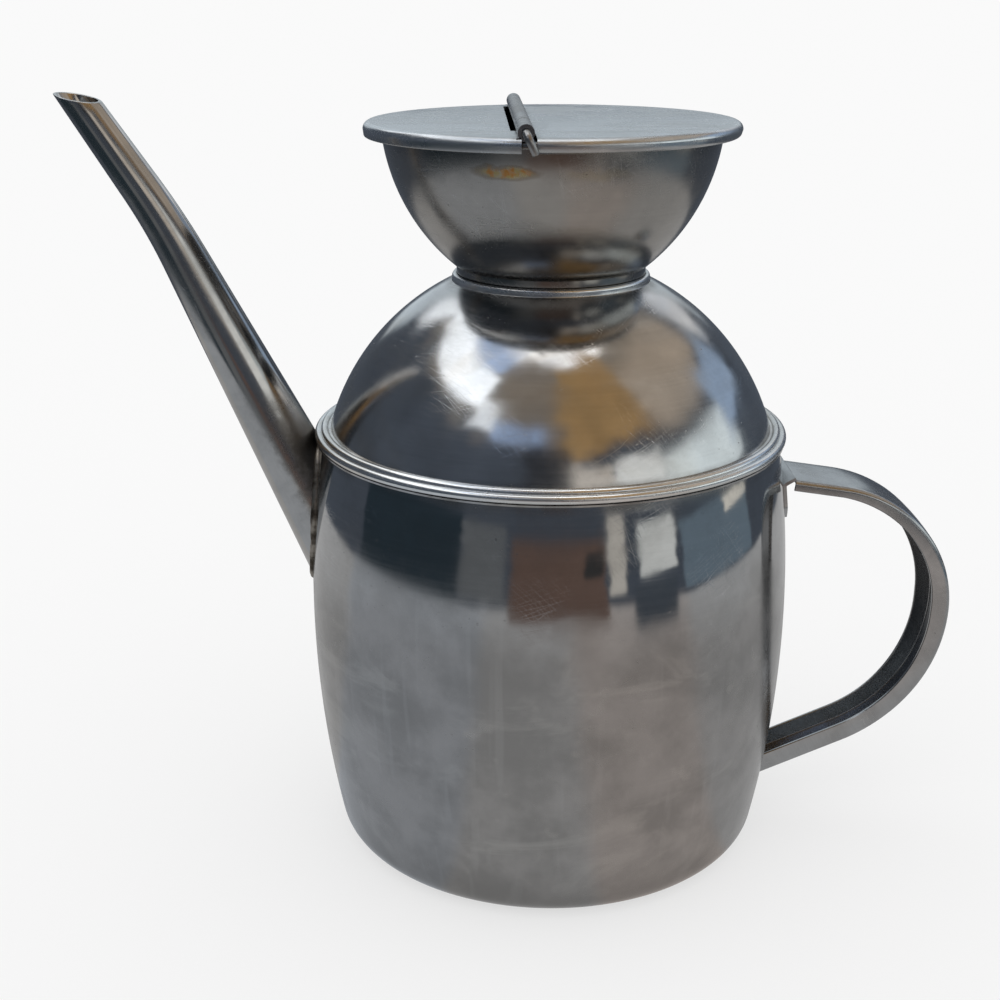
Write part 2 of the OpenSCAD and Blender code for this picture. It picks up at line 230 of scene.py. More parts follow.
@dataclass(frozen=True)
class Sizes:
    """Sizes of the CAD model in millimetres."""

    belly_r: float = 54.99
    belly_z: float = 56.0
    wall_r: float = 252.0
    corner_r: float = 7.2
    seam_z: float = 96.8
    sheet: float = 0.8
    oil_hole_r: float = 5.5
    oil_z: float = 80.17
    seam_out: float = 1.5
    roll_top_r: float = 0.9
    roll_low_r: float = 1.0
    roll_in: float = 1.3
    roll_rise: float = 0.95
    lip_t: float = 0.5
    lip_in: float = 0.4
    dome_inset: float = 1.4
    dome_offset: float = 0.9
    dome_drop: float = 12.5
    collar_r: float = 21.8
    collar_h: float = 1.6
    collar_t: float = 1.5
    foot_step: float = 1.0
    spigot_h: float = 5.8
    spigot_gap: float = 0.3
    bowl_r: float = 43.0
    bowl_offset: float = 6.1
    foot_h: float = 1.55
    lid_over: float = 3.87
    lid_rise: float = 32.6
    lid_h: float = 3.0
    lid_t: float = 0.7
    lid_edge_r: float = 1.1
    lid_gap: float = 0.2
    rim_gap: float = 0.5
    crimp_t: float = 0.7
    hinge_x: float = -7.1
    hinge_rise: float = 0.95
    knuckle_r: float = 1.65
    pin_r: float = 0.8
    pin_gap: float = 0.05

    @property
    def wall_cx(self) -> float:
        """Distance of the wall arc's centre from the axis."""
        return self.belly_r - self.wall_r

    @property
    def dome_cz(self) -> float:
        """Height of the shoulder arc's centre."""
        return self.seam_z - self.dome_drop

    @property
    def dome_foot_r(self) -> float:
        """Radius of the shoulder at the seam."""
        return self.wall_at(self.seam_z) - self.dome_inset

    @property
    def dome_r(self) -> float:
        """Radius of the shoulder's arc."""
        return math.hypot(self.dome_foot_r + self.dome_offset, self.dome_drop)

    @property
    def collar_z(self) -> float:
        """Height of the shoulder under the collar."""
        return self.dome_at(self.collar_r)

    @property
    def neck_z(self) -> float:
        """Height of the collar's top."""
        return self.collar_z + self.collar_h

    @property
    def hole_r(self) -> float:
        """Radius of the collar's bore."""
        return self.collar_r - self.collar_t

    @property
    def foot_r(self) -> float:
        """Outside radius of the funnel's foot."""
        return self.collar_r - self.foot_step

    @property
    def foot_top_z(self) -> float:
        """Height at which the bowl starts on its foot."""
        return self.neck_z + self.foot_h

    @property
    def bowl_cz(self) -> float:
        """Height of the bowl arc's centre."""
        reach = self.foot_r + self.bowl_offset
        return self.foot_top_z + math.sqrt(self.bowl_r ** 2 - reach ** 2)

    @property
    def lid_r(self) -> float:
        """Radius of the lid."""
        return self.bowl_at(self.lid_z - self.lid_h + self.crimp_t) + self.lid_over

    @property
    def lid_z(self) -> float:
        """Height of the lid's top."""
        return self.neck_z + self.lid_rise

    @property
    def hinge_z(self) -> float:
        """Height of the hinge pin."""
        return self.lid_z + self.hinge_rise

    def wall_at(self, z: float) -> float:
        """Outside radius of the can at a height."""
        return self.wall_cx + math.sqrt(self.wall_r ** 2 - (z - self.belly_z) ** 2)

    def dome_at(self, r: float) -> float:
        """Height of the shoulder at a radius."""
        return self.dome_cz + math.sqrt(self.dome_r ** 2 - (r + self.dome_offset) ** 2)

    def bowl_at(self, z: float) -> float:
        """Outside radius of the bowl at a height."""
        return math.sqrt(self.bowl_r ** 2 - (z - self.bowl_cz) ** 2) - self.bowl_offset


SIZES = Sizes()


@dataclass(frozen=True)
class Steel:
    """Worn sheet steel: polishing lines, haze, blotches, pits and scratches."""

    name: str
    tone: COLOUR = (0.50, 0.51, 0.52)
    haze: COLOUR = (0.36, 0.36, 0.355)
    haze_share: float = 0.5
    rough: float = 0.17
    rough_spread: float = 0.10
    flow: Flow = Flow.WALL
    length_axis: tuple[float, float] = (1.0, 0.0)
    line_scale: float = 1.6
    line_depth: float = 0.0016
    line_tone: float = 0.10
    wave_scale: float = 0.035
    wave_depth: float = 0.05
    scratch_share: float = 0.35
    pit_share: float = 0.5
    anisotropy: float = 0.35

    def material(self) -> bpy.types.Material:
        """Builds the material."""
        graph = Graph(self.name)
        place = graph.place()
        x, y, z = graph.split(place)
        lines = self._lines(graph, place, x, y, z)
        blotch = graph.cloud(place, 0.045, 5.0, 0.6, 0.4)
        mottle = graph.cloud(place, 0.21, 4.0, 0.65)
        hazy = (blotch * 0.7 + mottle * 0.3).step(0.40, 0.62)
        pits = graph.cloud(place, 1.15, 2.0, 0.5).step(0.70, 0.76)
        pits = pits * graph.cloud(place, 0.07, 2.0).step(0.45, 0.62) * self.pit_share
        scratches = self._scratches(graph, x, y, z) * self.scratch_share
        colour = graph.mix(self.tone, self.haze, hazy * self.haze_share)
        streak = (lines - 0.5) * (self.line_tone * 2) + 1
        colour = graph.mix(colour, graph.join(streak, streak, streak), 1.0, "MULTIPLY")
        colour = graph.mix(colour, (0.12, 0.11, 0.10), pits * 0.7)
        colour = graph.mix(colour, (0.80, 0.81, 0.82), scratches * 0.35)
        rough = (hazy * self.rough_spread + (lines - 0.5) * 0.10 + self.rough
                 + scratches * 0.15 + pits * 0.3)
        colour, rough = self.marks(graph, colour, rough, (x, y, z))
        wave = graph.cloud(place, self.wave_scale, 1.0, 0.4)
        normal = graph.bump(wave, self.wave_depth)
        normal = graph.bump(lines, self.line_depth, normal)
        normal = graph.bump(1 - pits - scratches * 0.6, 0.006, normal)
        shader = graph.node("ShaderNodeBsdfPrincipled", {}, {
            "Base Color": colour, "Roughness": rough, "Metallic": 1.0,
            "Normal": normal, "Anisotropic": self.anisotropy,
        })
        return graph.output(shader)

    def marks(self, graph: Graph, colour: Value, rough: Value,
              place: tuple[Value, Value, Value]) -> tuple[Value, Value]:
        """Marks of use that belong to one piece, and painted shade on some pieces.

        Args:
            graph: The material's tree.
            colour: The steel's colour so far.
            rough: Its roughness so far.
            place: Coordinates of the surface point.

        Returns:
            The colour and the roughness with the marks.
        """
        return colour, rough

    def _lines(self, graph: Graph, place: Value, x: Value, y: Value,
               z: Value) -> Value:
        """Fine polishing lines that follow the flow of the surface."""
        size = SIZES
        radius = (x * x + y * y).root()
        if self.flow is Flow.LONG:
            along_x, along_z = self.length_axis
            along = x * along_x + z * along_z
            across = z * along_x - x * along_z
            where = graph.join(along * 0.03, across * self.line_scale,
                               y * self.line_scale)
        else:
            if self.flow is Flow.WALL:
                rank = z
            elif self.flow is Flow.DOME:
                rank = (z - size.dome_cz).angle(radius) * size.dome_r
            elif self.flow is Flow.BOWL:
                rank = (z - size.bowl_cz).angle(radius + size.bowl_offset) * size.bowl_r
            else:
                rank = radius
            where = graph.join(x * 0.035, y * 0.035, rank * self.line_scale)
        fine = graph.cloud(where, 1.0, 2.0, 0.7)
        broad = graph.cloud(where, 0.23, 2.0, 0.5)
        return fine * 0.65 + broad * 0.35

    def _scratches(self, graph: Graph, x: Value, y: Value, z: Value) -> Value:
        """Sparse hair scratches in three directions."""
        total: Value | None = None
        for lean, offset in ((0.35, 11.0), (-0.8, 47.0), (1.9, 83.0)):
            cos, sin = math.cos(lean), math.sin(lean)
            along = (x + y * 0.6) * cos + z * sin
            across = z * cos - (x + y * 0.6) * sin
            where = graph.join(along * 0.05 + offset, across * 0.9, y * 0.05)
            thin = (graph.cloud(where, 1.0, 0.0) - 0.5).size().step(0.012, 0.002)
            gate = graph.cloud(graph.join(x, y, z), 0.06, 1.0, 0.5, 0.0)
            hit = thin * gate.step(0.50, 0.60)
            total = hit if total is None else total + hit
        return total


@dataclass(frozen=True)
class CanSteel(Steel):
    """The can: rougher below and darkened there by painted shade, streaked with water marks,
    with painted shade and dirt under the seam.
    """

    low_shade_tone: COLOUR = (0.25, 0.245, 0.24)
    seam_z: float = SIZES.seam_z

    def marks(self, graph: Graph, colour: Value, rough: Value,
              place: tuple[Value, Value, Value]) -> tuple[Value, Value]:
        """Adds the rougher lower half darkened with painted shade, dried water marks,
        painted shade with dirt under the seam and painted shade at the foot.
        """
        x, y, z = place
        point = graph.join(x, y, z)
        drift = (graph.cloud(point, 0.03, 4.0, 0.6) - 0.5) * 30
        # Painted shade: the lower half is darkened to stand for the darker reflection it
        # shows; the roughness also rises there.
        low = (z + drift).step(80.0, 60.0)
        tone = graph.cloud(point, 0.05, 4.0, 0.6).step(0.35, 0.65)
        dull = graph.mix(self.low_shade_tone, (0.37, 0.36, 0.355), tone)
        colour = graph.mix(colour, dull, low * 0.8)
        rough = rough + low * 0.12
        smear = graph.cloud(graph.join(x * 0.6, y * 0.6, z * 1.5), 0.05, 4.0, 0.6, 1.2)
        colour = graph.mix(colour, (0.50, 0.495, 0.48), smear.step(0.50, 0.68) * low * 0.35)
        drip = graph.join(x * 0.3, y * 0.3, z * 0.012)
        runs = graph.cloud(drip, 1.0, 2.0).step(0.56, 0.70)
        colour = graph.mix(colour, (0.46, 0.46, 0.46), runs * 0.22)
        spots = graph.cloud(point, 0.16, 2.0, 0.5).step(0.62, 0.76) * low
        colour = graph.mix(colour, (0.50, 0.49, 0.475), spots * 0.3)
        rough = rough + spots * 0.1
        # Painted shade with dirt: a dark band just under the seam's overhang.
        crease_shade_and_dirt = z.step(self.seam_z - 3.2, self.seam_z - 0.4)
        crease_shade_and_dirt = crease_shade_and_dirt * graph.cloud(point, 0.12, 3.0).step(0.25, 0.75)
        colour = graph.mix(colour, (0.09, 0.08, 0.065), crease_shade_and_dirt * 0.6)
        rough = rough + crease_shade_and_dirt * 0.25
        # Painted shade: darker towards the bottom, standing for the reflected shadow at the
        # base.
        foot = z.step(18.0, 0.0)
        colour = graph.mix(colour, (0.20, 0.195, 0.19), foot * 0.6)
        colour, rough = root_stain_and_shade(graph, colour, rough, place)
        return colour, rough


def root_stain_and_shade(graph: Graph, colour: Value, rough: Value,
               place: tuple[Value, Value, Value]) -> tuple[Value, Value]:
    """Braze stain and painted shade round the spout's root, where it meets the wall.

    Args:
        graph: The material's tree.
        colour: The colour so far.
        rough: The roughness so far.
        place: Coordinates of the surface point.

    Returns:
        The stained colour and roughness.
    """
    x, y, z = place
    point = graph.join(x, y, z)
    ragged = (graph.cloud(point, 0.5, 3.0, 0.6) - 0.5) * 5
    spout = graph.split(graph.join(x + 53.0, y, (z - 81.0) * 0.42))
    near = (spout[0] * spout[0] + spout[1] * spout[1] + spout[2] * spout[2]).root()
    # Braze stain and painted shade: the wall darkens round the joint with the spout.
    dark = (near + ragged).step(11.5, 7.0)
    colour = graph.mix(colour, (0.07, 0.06, 0.05), dark * 0.8)
    rough = rough + dark * 0.25
    return colour, rough


@dataclass(frozen=True)
class ShoulderSteel(Steel):
    """The shoulder: bright, finely scratched, with a faint bronze tint painted to stand for
    a warm reflection.
    """

    def marks(self, graph: Graph, colour: Value, rough: Value,
              place: tuple[Value, Value, Value]) -> tuple[Value, Value]:
        """Adds the bronze tint of a painted reflection, and painted shade with dirt at the
        seam and under the collar.
        """
        x, y, z = place
        point = graph.join(x, y, z)
        # Painted reflection: a faint bronze tint in patches stands for a warm reflection.
        bronze_reflection_tint = graph.cloud(point, 0.028, 3.0, 0.5, 0.6).step(0.48, 0.66)
        colour = graph.mix(colour, (0.46, 0.39, 0.30), bronze_reflection_tint * 0.35)
        radius = (x * x + y * y).root()
        # Painted shade with dirt in the creases at the collar's foot and where the dome
        # meets the seam.
        neck = radius.step(24.5, 22.0) * z.step(132.6, 132.0)
        rim = z.step(100.6, 99.4) * radius.step(51.0, 50.2) * 0.35
        crease_shade_and_dirt = (neck * 0.6 + rim)
        crease_shade_and_dirt = crease_shade_and_dirt * graph.cloud(point, 0.14, 3.0).step(0.25, 0.75)
        colour = graph.mix(colour, (0.08, 0.07, 0.055), crease_shade_and_dirt)
        rough = rough + crease_shade_and_dirt * 0.2
        return colour, rough


@dataclass(frozen=True)
class BowlSteel(Steel):
    """The funnel: dull and grey-brown, with an oil stain under its rim."""

    def marks(self, graph: Graph, colour: Value, rough: Value,
              place: tuple[Value, Value, Value]) -> tuple[Value, Value]:
        """Adds the oil stain, the pale smear beside it, and painted shade that darkens the
        top by the rim and the bottom by the foot.
        """
        x, y, z = place
        point = graph.join(x, y, z)
        front = y.step(-20.0, -28.0)
        fray = (graph.cloud(point, 0.30, 3.0, 0.6) - 0.5)
        grain = graph.cloud(point, 0.8, 3.0, 0.6).step(0.32, 0.60)
        lens = self._oval(x + 10.6, z - 158.9 + fray * 2.2, 5.8, 1.25) + fray * 0.5
        pale = self._oval(x - 7.0, z - 158.4 + fray * 4.0, 8.5, 1.6) + fray
        stain = lens.step(1.15, 0.45) * (grain * 0.6 + 0.4) * front
        spots = graph.cloud(point, 0.55, 2.0).step(0.50, 0.60) * stain
        colour = graph.mix(colour, (0.42, 0.31, 0.08), stain * 0.75)
        colour = graph.mix(colour, (0.46, 0.16, 0.03), spots * 0.7)
        edge = lens.band(1.0, 0.05, 0.3) * front
        colour = graph.mix(colour, (0.12, 0.08, 0.04), edge * 0.35)
        colour = graph.mix(colour, (0.34, 0.29, 0.18), pale.step(1.1, 0.2) * front * 0.3)
        # Painted shade: darker at the top, under the lid's rim.
        top = z.step(159.0, 163.5)
        colour = graph.mix(colour, (0.12, 0.12, 0.115), top * 0.45)
        # Painted shade: darker at the bottom, towards the foot.
        low = z.step(140.5, 136.0)
        colour = graph.mix(colour, (0.16, 0.16, 0.155), low * 0.45)
        return colour, rough + stain * 0.15

    def _oval(self, across: Value, up: Value, wide: float, tall: float) -> Value:
        """Distance from an oval's middle, 1 on its edge."""
        across, up = across / wide, up / tall
        return (across * across + up * up).root()


@dataclass(frozen=True)
class SpoutSteel(Steel):
    """The spout: a darker satin, black at its root with painted shade and dirt."""

    def marks(self, graph: Graph, colour: Value, rough: Value,
              place: tuple[Value, Value, Value]) -> tuple[Value, Value]:
        """Adds painted shade with dirt at the root, thickest on the side towards the can
        that shades it.
        """
        x, y, z = place
        point = graph.join(x, y, z)
        ragged = (graph.cloud(point, 0.4, 3.0, 0.6) - 0.5) * 9
        outer = x + z * 0.46 + 16.0
        # Painted shade with dirt at the root, on the side that faces the can.
        dark = (outer + ragged).step(-4.0, 4.5) * z.step(110.0, 96.0)
        colour = graph.mix(colour, (0.06, 0.052, 0.042), dark * 0.8)
        rough = rough + dark * 0.3
        return colour, rough


@dataclass(frozen=True)
class LidSteel(Steel):
    """The lid: pale satin with wiping smears."""

    def marks(self, graph: Graph, colour: Value, rough: Value,
              place: tuple[Value, Value, Value]) -> tuple[Value, Value]:
        """Adds wiping smears, painted shade on the underside and painted shade with dirt
        along the hinge.
        """
        x, y, z = place
        point = graph.join(x * 0.35, y * 1.3, z)
        smear = graph.cloud(point, 0.07, 4.0, 0.6, 1.2).step(0.42, 0.62)
        colour = graph.mix(colour, (0.40, 0.42, 0.43), smear * 0.4)
        rough = rough + smear * 0.08
        # Painted shade: the lid's underside is darker.
        under = z.step(SIZES.lid_z - 0.9, SIZES.lid_z - SIZES.lid_h)
        colour = graph.mix(colour, (0.26, 0.25, 0.235), under * 0.55)
        # Painted shade with dirt in the slot along the hinge.
        hinge = (x - SIZES.hinge_x).band(0.0, 1.5, 2.2) * (y.size()).step(40.0, 38.0)
        crease_shade_and_dirt = hinge * graph.cloud(graph.join(x, y, z), 0.5, 3.0).step(0.35, 0.6)
        colour = graph.mix(colour, (0.10, 0.095, 0.085), crease_shade_and_dirt * 0.5)
        return colour, rough


@dataclass(frozen=True)
class WeldMetal(Steel):
    """Brazed metal: rough, lumpy and darkened by heat."""

    def marks(self, graph: Graph, colour: Value, rough: Value,
              place: tuple[Value, Value, Value]) -> tuple[Value, Value]:
        """Adds soot over the brown metal."""
        point = graph.join(*place)
        soot = graph.cloud(point, 0.30, 4.0, 0.6).step(0.34, 0.66)
        colour = graph.mix((0.36, 0.32, 0.27), (0.075, 0.06, 0.045), soot)
        return colour, rough + soot * 0.2


SPOUT_SLOPE = math.radians(60.5)


@dataclass(frozen=True)
class Finishes:
    """One finish for each of the record's material slots."""

    can: Steel = CanSteel("can_steel", tone=(0.47, 0.475, 0.48), line_depth=0.0010,
                          rough=0.05, rough_spread=0.06, wave_depth=0.035,
                          anisotropy=0.15)
    inside: Steel = Steel("inside_steel", tone=(0.40, 0.40, 0.395), rough=0.30,
                          haze_share=0.7)
    bead: Steel = ShoulderSteel("bead_steel", tone=(0.74, 0.75, 0.75), rough=0.19,
                                wave_depth=0.02, haze_share=0.15)
    shoulder: Steel = ShoulderSteel(
        "shoulder_steel", tone=(0.52, 0.53, 0.54), flow=Flow.DOME, rough=0.11,
        rough_spread=0.09, haze_share=0.30, scratch_share=0.5, line_depth=0.0012)
    spout: Steel = SpoutSteel(
        "spout_steel", tone=(0.47, 0.46, 0.445), haze=(0.30, 0.30, 0.295), rough=0.12,
        flow=Flow.LONG, length_axis=(-math.cos(SPOUT_SLOPE), math.sin(SPOUT_SLOPE)),
        wave_depth=0.02, anisotropy=0.3)
    braze: Steel = WeldMetal("braze_metal", rough=0.34, line_depth=0.0, wave_depth=0.0,
                             pit_share=0.2)
    handle: Steel = Steel(
        "handle_steel", tone=(0.42, 0.425, 0.43), haze=(0.29, 0.29, 0.29), rough=0.17,
        flow=Flow.LONG, length_axis=(0.5, -0.86), wave_depth=0.02, anisotropy=0.2)
    bowl: Steel = BowlSteel(
        "funnel_steel", tone=(0.345, 0.33, 0.31), haze=(0.29, 0.28, 0.265), rough=0.18,
        flow=Flow.BOWL, haze_share=0.5, anisotropy=0.2)
    lid: Steel = LidSteel("lid_steel", tone=(0.60, 0.62, 0.64), rough=0.20,
                          flow=Flow.DISC, haze=(0.48, 0.50, 0.51), wave_depth=0.03,
                          scratch_share=0.5, anisotropy=0.0)
    knuckle: Steel = Steel(
        "knuckle_steel", tone=(0.36, 0.355, 0.35), haze=(0.14, 0.13, 0.12), rough=0.22,
        haze_share=0.8, flow=Flow.LONG, length_axis=(0.0, 1.0), wave_depth=0.0,
        anisotropy=0.0)
    pin: Steel = Steel("pin_steel", tone=(0.36, 0.355, 0.35), haze=(0.2, 0.19, 0.18),
                       rough=0.28, wave_depth=0.0, anisotropy=0.0)


class Outline:
    """A wire in the XZ plane that a spin or a sweep turns into a surface."""

    def __init__(self, bm: bmesh.types.BMesh, x: float, z: float) -> None:
        """Starts the wire at a point."""
        self.bm = bm
        self.first = bm.verts.new((x, 0.0, z))
        self.tip = self.first

    def line(self, x: float, z: float) -> "Outline":
        """Draws a straight edge to a point."""
        made = bmesh.ops.extrude_vert_indiv(self.bm, verts=[self.tip])
        self.tip = made["verts"][0]
        self.tip.co = (x, 0.0, z)
        return self

    def arc(self, x: float, z: float, turn: float, steps: int) -> "Outline":
        """Draws an arc round a centre, anticlockwise for a positive turn in degrees."""
        made = bmesh.ops.spin(self.bm, geom=[self.tip], cent=(x, 0.0, z),
                              axis=(0.0, -1.0, 0.0), angle=math.radians(turn),
                              steps=steps, use_duplicate=False)
        self.tip = next(v for v in made["geom_last"]
                        if isinstance(v, bmesh.types.BMVert))
        return self

    def close(self) -> None:
        """Joins the tip to the start."""
        self.bm.edges.new((self.tip, self.first))


def heading(x: float, z: float) -> float:
    """Angle of a direction in the XZ plane, in degrees."""
    return math.degrees(math.atan2(z, x))


def revolve(bm: bmesh.types.BMesh, steps: int = ROUND_STEPS) -> None:
    """Spins everything in the bmesh once round the Z axis and closes it."""
    bmesh.ops.spin(bm, geom=bm.verts[:] + bm.edges[:], cent=(0, 0, 0), axis=(0, 0, 1),
                   angle=FULL_TURN, steps=steps, use_merge=True, use_duplicate=False)
    tidy(bm)


def tidy(bm: bmesh.types.BMesh) -> None:
    """Merges doubles and turns the faces outwards."""
    bmesh.ops.remove_doubles(bm, verts=bm.verts, dist=WELD_DIST)
    bmesh.ops.dissolve_degenerate(bm, dist=WELD_DIST / 10, edges=bm.edges)
    bmesh.ops.recalc_face_normals(bm, faces=bm.faces)


def frame_along(here: Vector, before: Vector, after: Vector, side: Vector) -> Matrix:
    """A matrix at a point of a path, with Z along the path.

    Args:
        here: The point.
        before: The point before it.
        after: The point after it.
        side: A direction that X stays close to.

    Returns:
        The 4 by 4 matrix.
    """
    ahead = (after - before).normalized()
    x_axis = (side - ahead * side.dot(ahead)).normalized()
    y_axis = ahead.cross(x_axis)
    turn = Matrix((x_axis, y_axis, ahead)).transposed().to_4x4()
    return Matrix.Translation(here) @ turn


def sweep_round(bm: bmesh.types.BMesh, path: Sequence[Vector], radii: Sequence[float],
                side: Vector, sides: int, closed: bool = False,
                capped: bool = False) -> list[list[bmesh.types.BMEdge]]:
    """Bridges circles set along a path.

    Args:
        bm: The bmesh to add to.
        path: The circles' centres.
        radii: Their radii.
        side: A direction that the circles' first points stay close to.
        sides: Number of sides of a circle.
        closed: Whether the last circle is joined to the first.
        capped: Whether the ends are filled.

    Returns:
        The edges of each circle.
    """
    rings: list[list[bmesh.types.BMEdge]] = []
    count = len(path)
    for index, here in enumerate(path):
        before = path[(index - 1) % count] if closed else path[max(index - 1, 0)]
        after = path[(index + 1) % count] if closed else path[min(index + 1, count - 1)]
        made = bmesh.ops.create_circle(
            bm, cap_ends=False, radius=radii[index], segments=sides,
            matrix=frame_along(here, before, after, side))
        rings.append(list({e for v in made["verts"] for e in v.link_edges}))
    pairs = list(zip(rings, rings[1:])) + ([(rings[-1], rings[0])] if closed else [])
    for low, high in pairs:
        bmesh.ops.bridge_loops(bm, edges=low + high)
    if capped:
        for ring in (rings[0], rings[-1]):
            bmesh.ops.edgeloop_fill(bm, edges=ring)
    return rings


def box(bm: bmesh.types.BMesh, low: Sequence[float], high: Sequence[float]) -> None:
    """Adds a box between two corners."""
    middle = [(a + b) / 2 for a, b in zip(low, high)]
    span = [b - a for a, b in zip(low, high)]
    matrix = Matrix.Translation(middle) @ Matrix.Diagonal((*span, 1.0))
    bmesh.ops.create_cube(bm, size=1.0, matrix=matrix)


def carve(bm: bmesh.types.BMesh, cutter: bmesh.types.BMesh) -> bmesh.types.BMesh:
    """Cuts one closed mesh out of another and frees both.

    Args:
        bm: The mesh to cut.
        cutter: The mesh that is taken away.

    Returns:
        The cut mesh.
    """
    made = []
    for source in (bm, cutter):
        mesh = bpy.data.meshes.new("carving")
        source.to_mesh(mesh)
        source.free()
        holder = bpy.data.objects.new("carving", mesh)
        bpy.context.scene.collection.objects.link(holder)
        made.append(holder)
    target, knife = made
    cut = target.modifiers.new("cut", "BOOLEAN")
    cut.operation = "DIFFERENCE"
    cut.solver = "EXACT"
    cut.object = knife
    view = bpy.context.evaluated_depsgraph_get()
    result = bmesh.new()
    result.from_object(target, view)
    for holder in made:
        mesh = holder.data
        bpy.data.objects.remove(holder)
        bpy.data.meshes.remove(mesh)
    bmesh.ops.remove_doubles(result, verts=result.verts, dist=WELD_DIST)
    return result


def add_piece(name: str, bm: bmesh.types.BMesh, body: str,
              material: bpy.types.Material, nodes: Iterable[str] = ()) -> bpy.types.Object:
    """Writes a mesh as a piece of the object.

    Args:
        name: The piece's name.
        bm: Its mesh in millimetres, which is freed.
        body: The body it rides on.
        material: Its finish.
        nodes: CAD nodes that it stands for.

    Returns:
        The piece.
    """
    bmesh.ops.scale(bm, vec=(MM, MM, MM), verts=bm.verts)
    for face in bm.faces:
        face.smooth = True
    for edge in bm.edges:
        edge.smooth = len(edge.link_faces) == 2 and edge.calc_face_angle(0) < SHARP_ANGLE
    mesh = bpy.data.meshes.new(name)
    bm.to_mesh(mesh)
    bm.free()
    mesh.materials.append(material)
    piece = bpy.data.objects.new(name, mesh)
    bpy.context.scene.collection.objects.link(piece)
    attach(piece, body)
    if nodes:
        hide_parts(*nodes)
    LOG.info("%s: %d faces, rides on %s", name, len(mesh.polygons), body)
    return piece


@dataclass
class Can:
    """The can's wall, floor and rolled seam."""

    size: Sizes = SIZES
    wall_steps: int = 40
    corner_steps: int = 10
    lip_round: float = 0.2
    hole_depth: float = 10.0
    low_steps: int = 14
    high_steps: int = 12
    roll_end: float = 150.0
    dome_bury: float = 0.3
    web: tuple[float, float] = (0.65, 0.55)

    def build(self, finish: Finishes) -> None:
        """Makes the can and its seam."""
        add_piece("can_body", self._shell(), "can", finish.can.material(),
                  ["body_wall", "body_floor"])
        add_piece("seam_bead", self._seam(), "can",
                  finish.bead.material(), ["seam_ring"])

    def _shell(self) -> bmesh.types.BMesh:
        """The can as one sheet: floor, rounded corner, swelling wall and turned lip."""
        size = self.size
        bm = bmesh.new()
        corner_x = size.wall_cx + math.sqrt(
            (size.wall_r - size.corner_r) ** 2 - (size.corner_r - size.belly_z) ** 2)
        bend = heading(corner_x - size.wall_cx, size.corner_r - size.belly_z)
        lip_z = size.seam_z - size.lip_t
        top_turn = math.degrees(math.asin((lip_z - size.belly_z) / size.wall_r))
        lip_r = size.wall_at(size.seam_z) + size.seam_out - size.lip_in
        wire = Outline(bm, 0.0, 0.0)
        wire.line(corner_x, 0.0)
        wire.arc(corner_x, size.corner_r, bend + 90, self.corner_steps)
        wire.arc(size.wall_cx, size.belly_z, top_turn - bend, self.wall_steps)
        fold = self.lip_round
        wire.line(lip_r - fold, lip_z).arc(lip_r - fold, lip_z + fold, 90, 3)
        wire.line(lip_r, size.seam_z).line(size.wall_at(size.seam_z) - size.sheet,
                                           size.seam_z)
        inner = size.wall_r - size.sheet
        inner_turn = math.degrees(math.asin((size.seam_z - size.belly_z) / inner))
        wire.tip.co.x = size.wall_cx + inner * math.cos(math.radians(inner_turn))
        wire.arc(size.wall_cx, size.belly_z, bend - inner_turn, self.wall_steps)
        wire.arc(corner_x, size.corner_r, -90 - bend, self.corner_steps)
        wire.line(0.0, size.sheet)
        revolve(bm)
        hole = bmesh.new()
        turn = Matrix.Translation((-size.belly_r, 0, size.oil_z)) @ Matrix.Rotation(
            math.pi / 2, 4, "Y")
        bmesh.ops.create_cone(hole, cap_ends=True, segments=48, radius1=size.oil_hole_r,
                              radius2=size.oil_hole_r, depth=self.hole_depth,
                              matrix=turn)
        return carve(bm, hole)

    def _seam(self) -> bmesh.types.BMesh:
        """The two rolls that hold the shoulder on the can."""
        size = self.size
        bm = bmesh.new()
        low = Vector((size.wall_at(size.seam_z) + size.seam_out - size.roll_low_r,
                      size.seam_z + size.roll_low_r))
        high = low + Vector((-size.roll_in, size.roll_rise))
        apart = high - low
        share = (apart.length_squared + size.roll_low_r ** 2
                 - size.roll_top_r ** 2) / (2 * apart.length_squared)
        rise = math.sqrt(size.roll_low_r ** 2 - share ** 2 * apart.length_squared)
        meet = low + apart * share + Vector((apart.y, -apart.x)).normalized() * rise
        low_turn = heading(*(meet - low))
        high_turn = heading(*(meet - high))
        inner = size.dome_foot_r - self.dome_bury
        wire = Outline(bm, inner, size.seam_z)
        wire.line(low.x, size.seam_z)
        wire.arc(low.x, low.y, 90 + low_turn, self.low_steps)
        wire.tip.co = (meet.x, 0, meet.y)
        wire.arc(high.x, high.y, self.roll_end - high_turn, self.high_steps)
        wire.line(inner - self.web[0], high.y + self.web[1])
        wire.close()
        revolve(bm)
        return bm


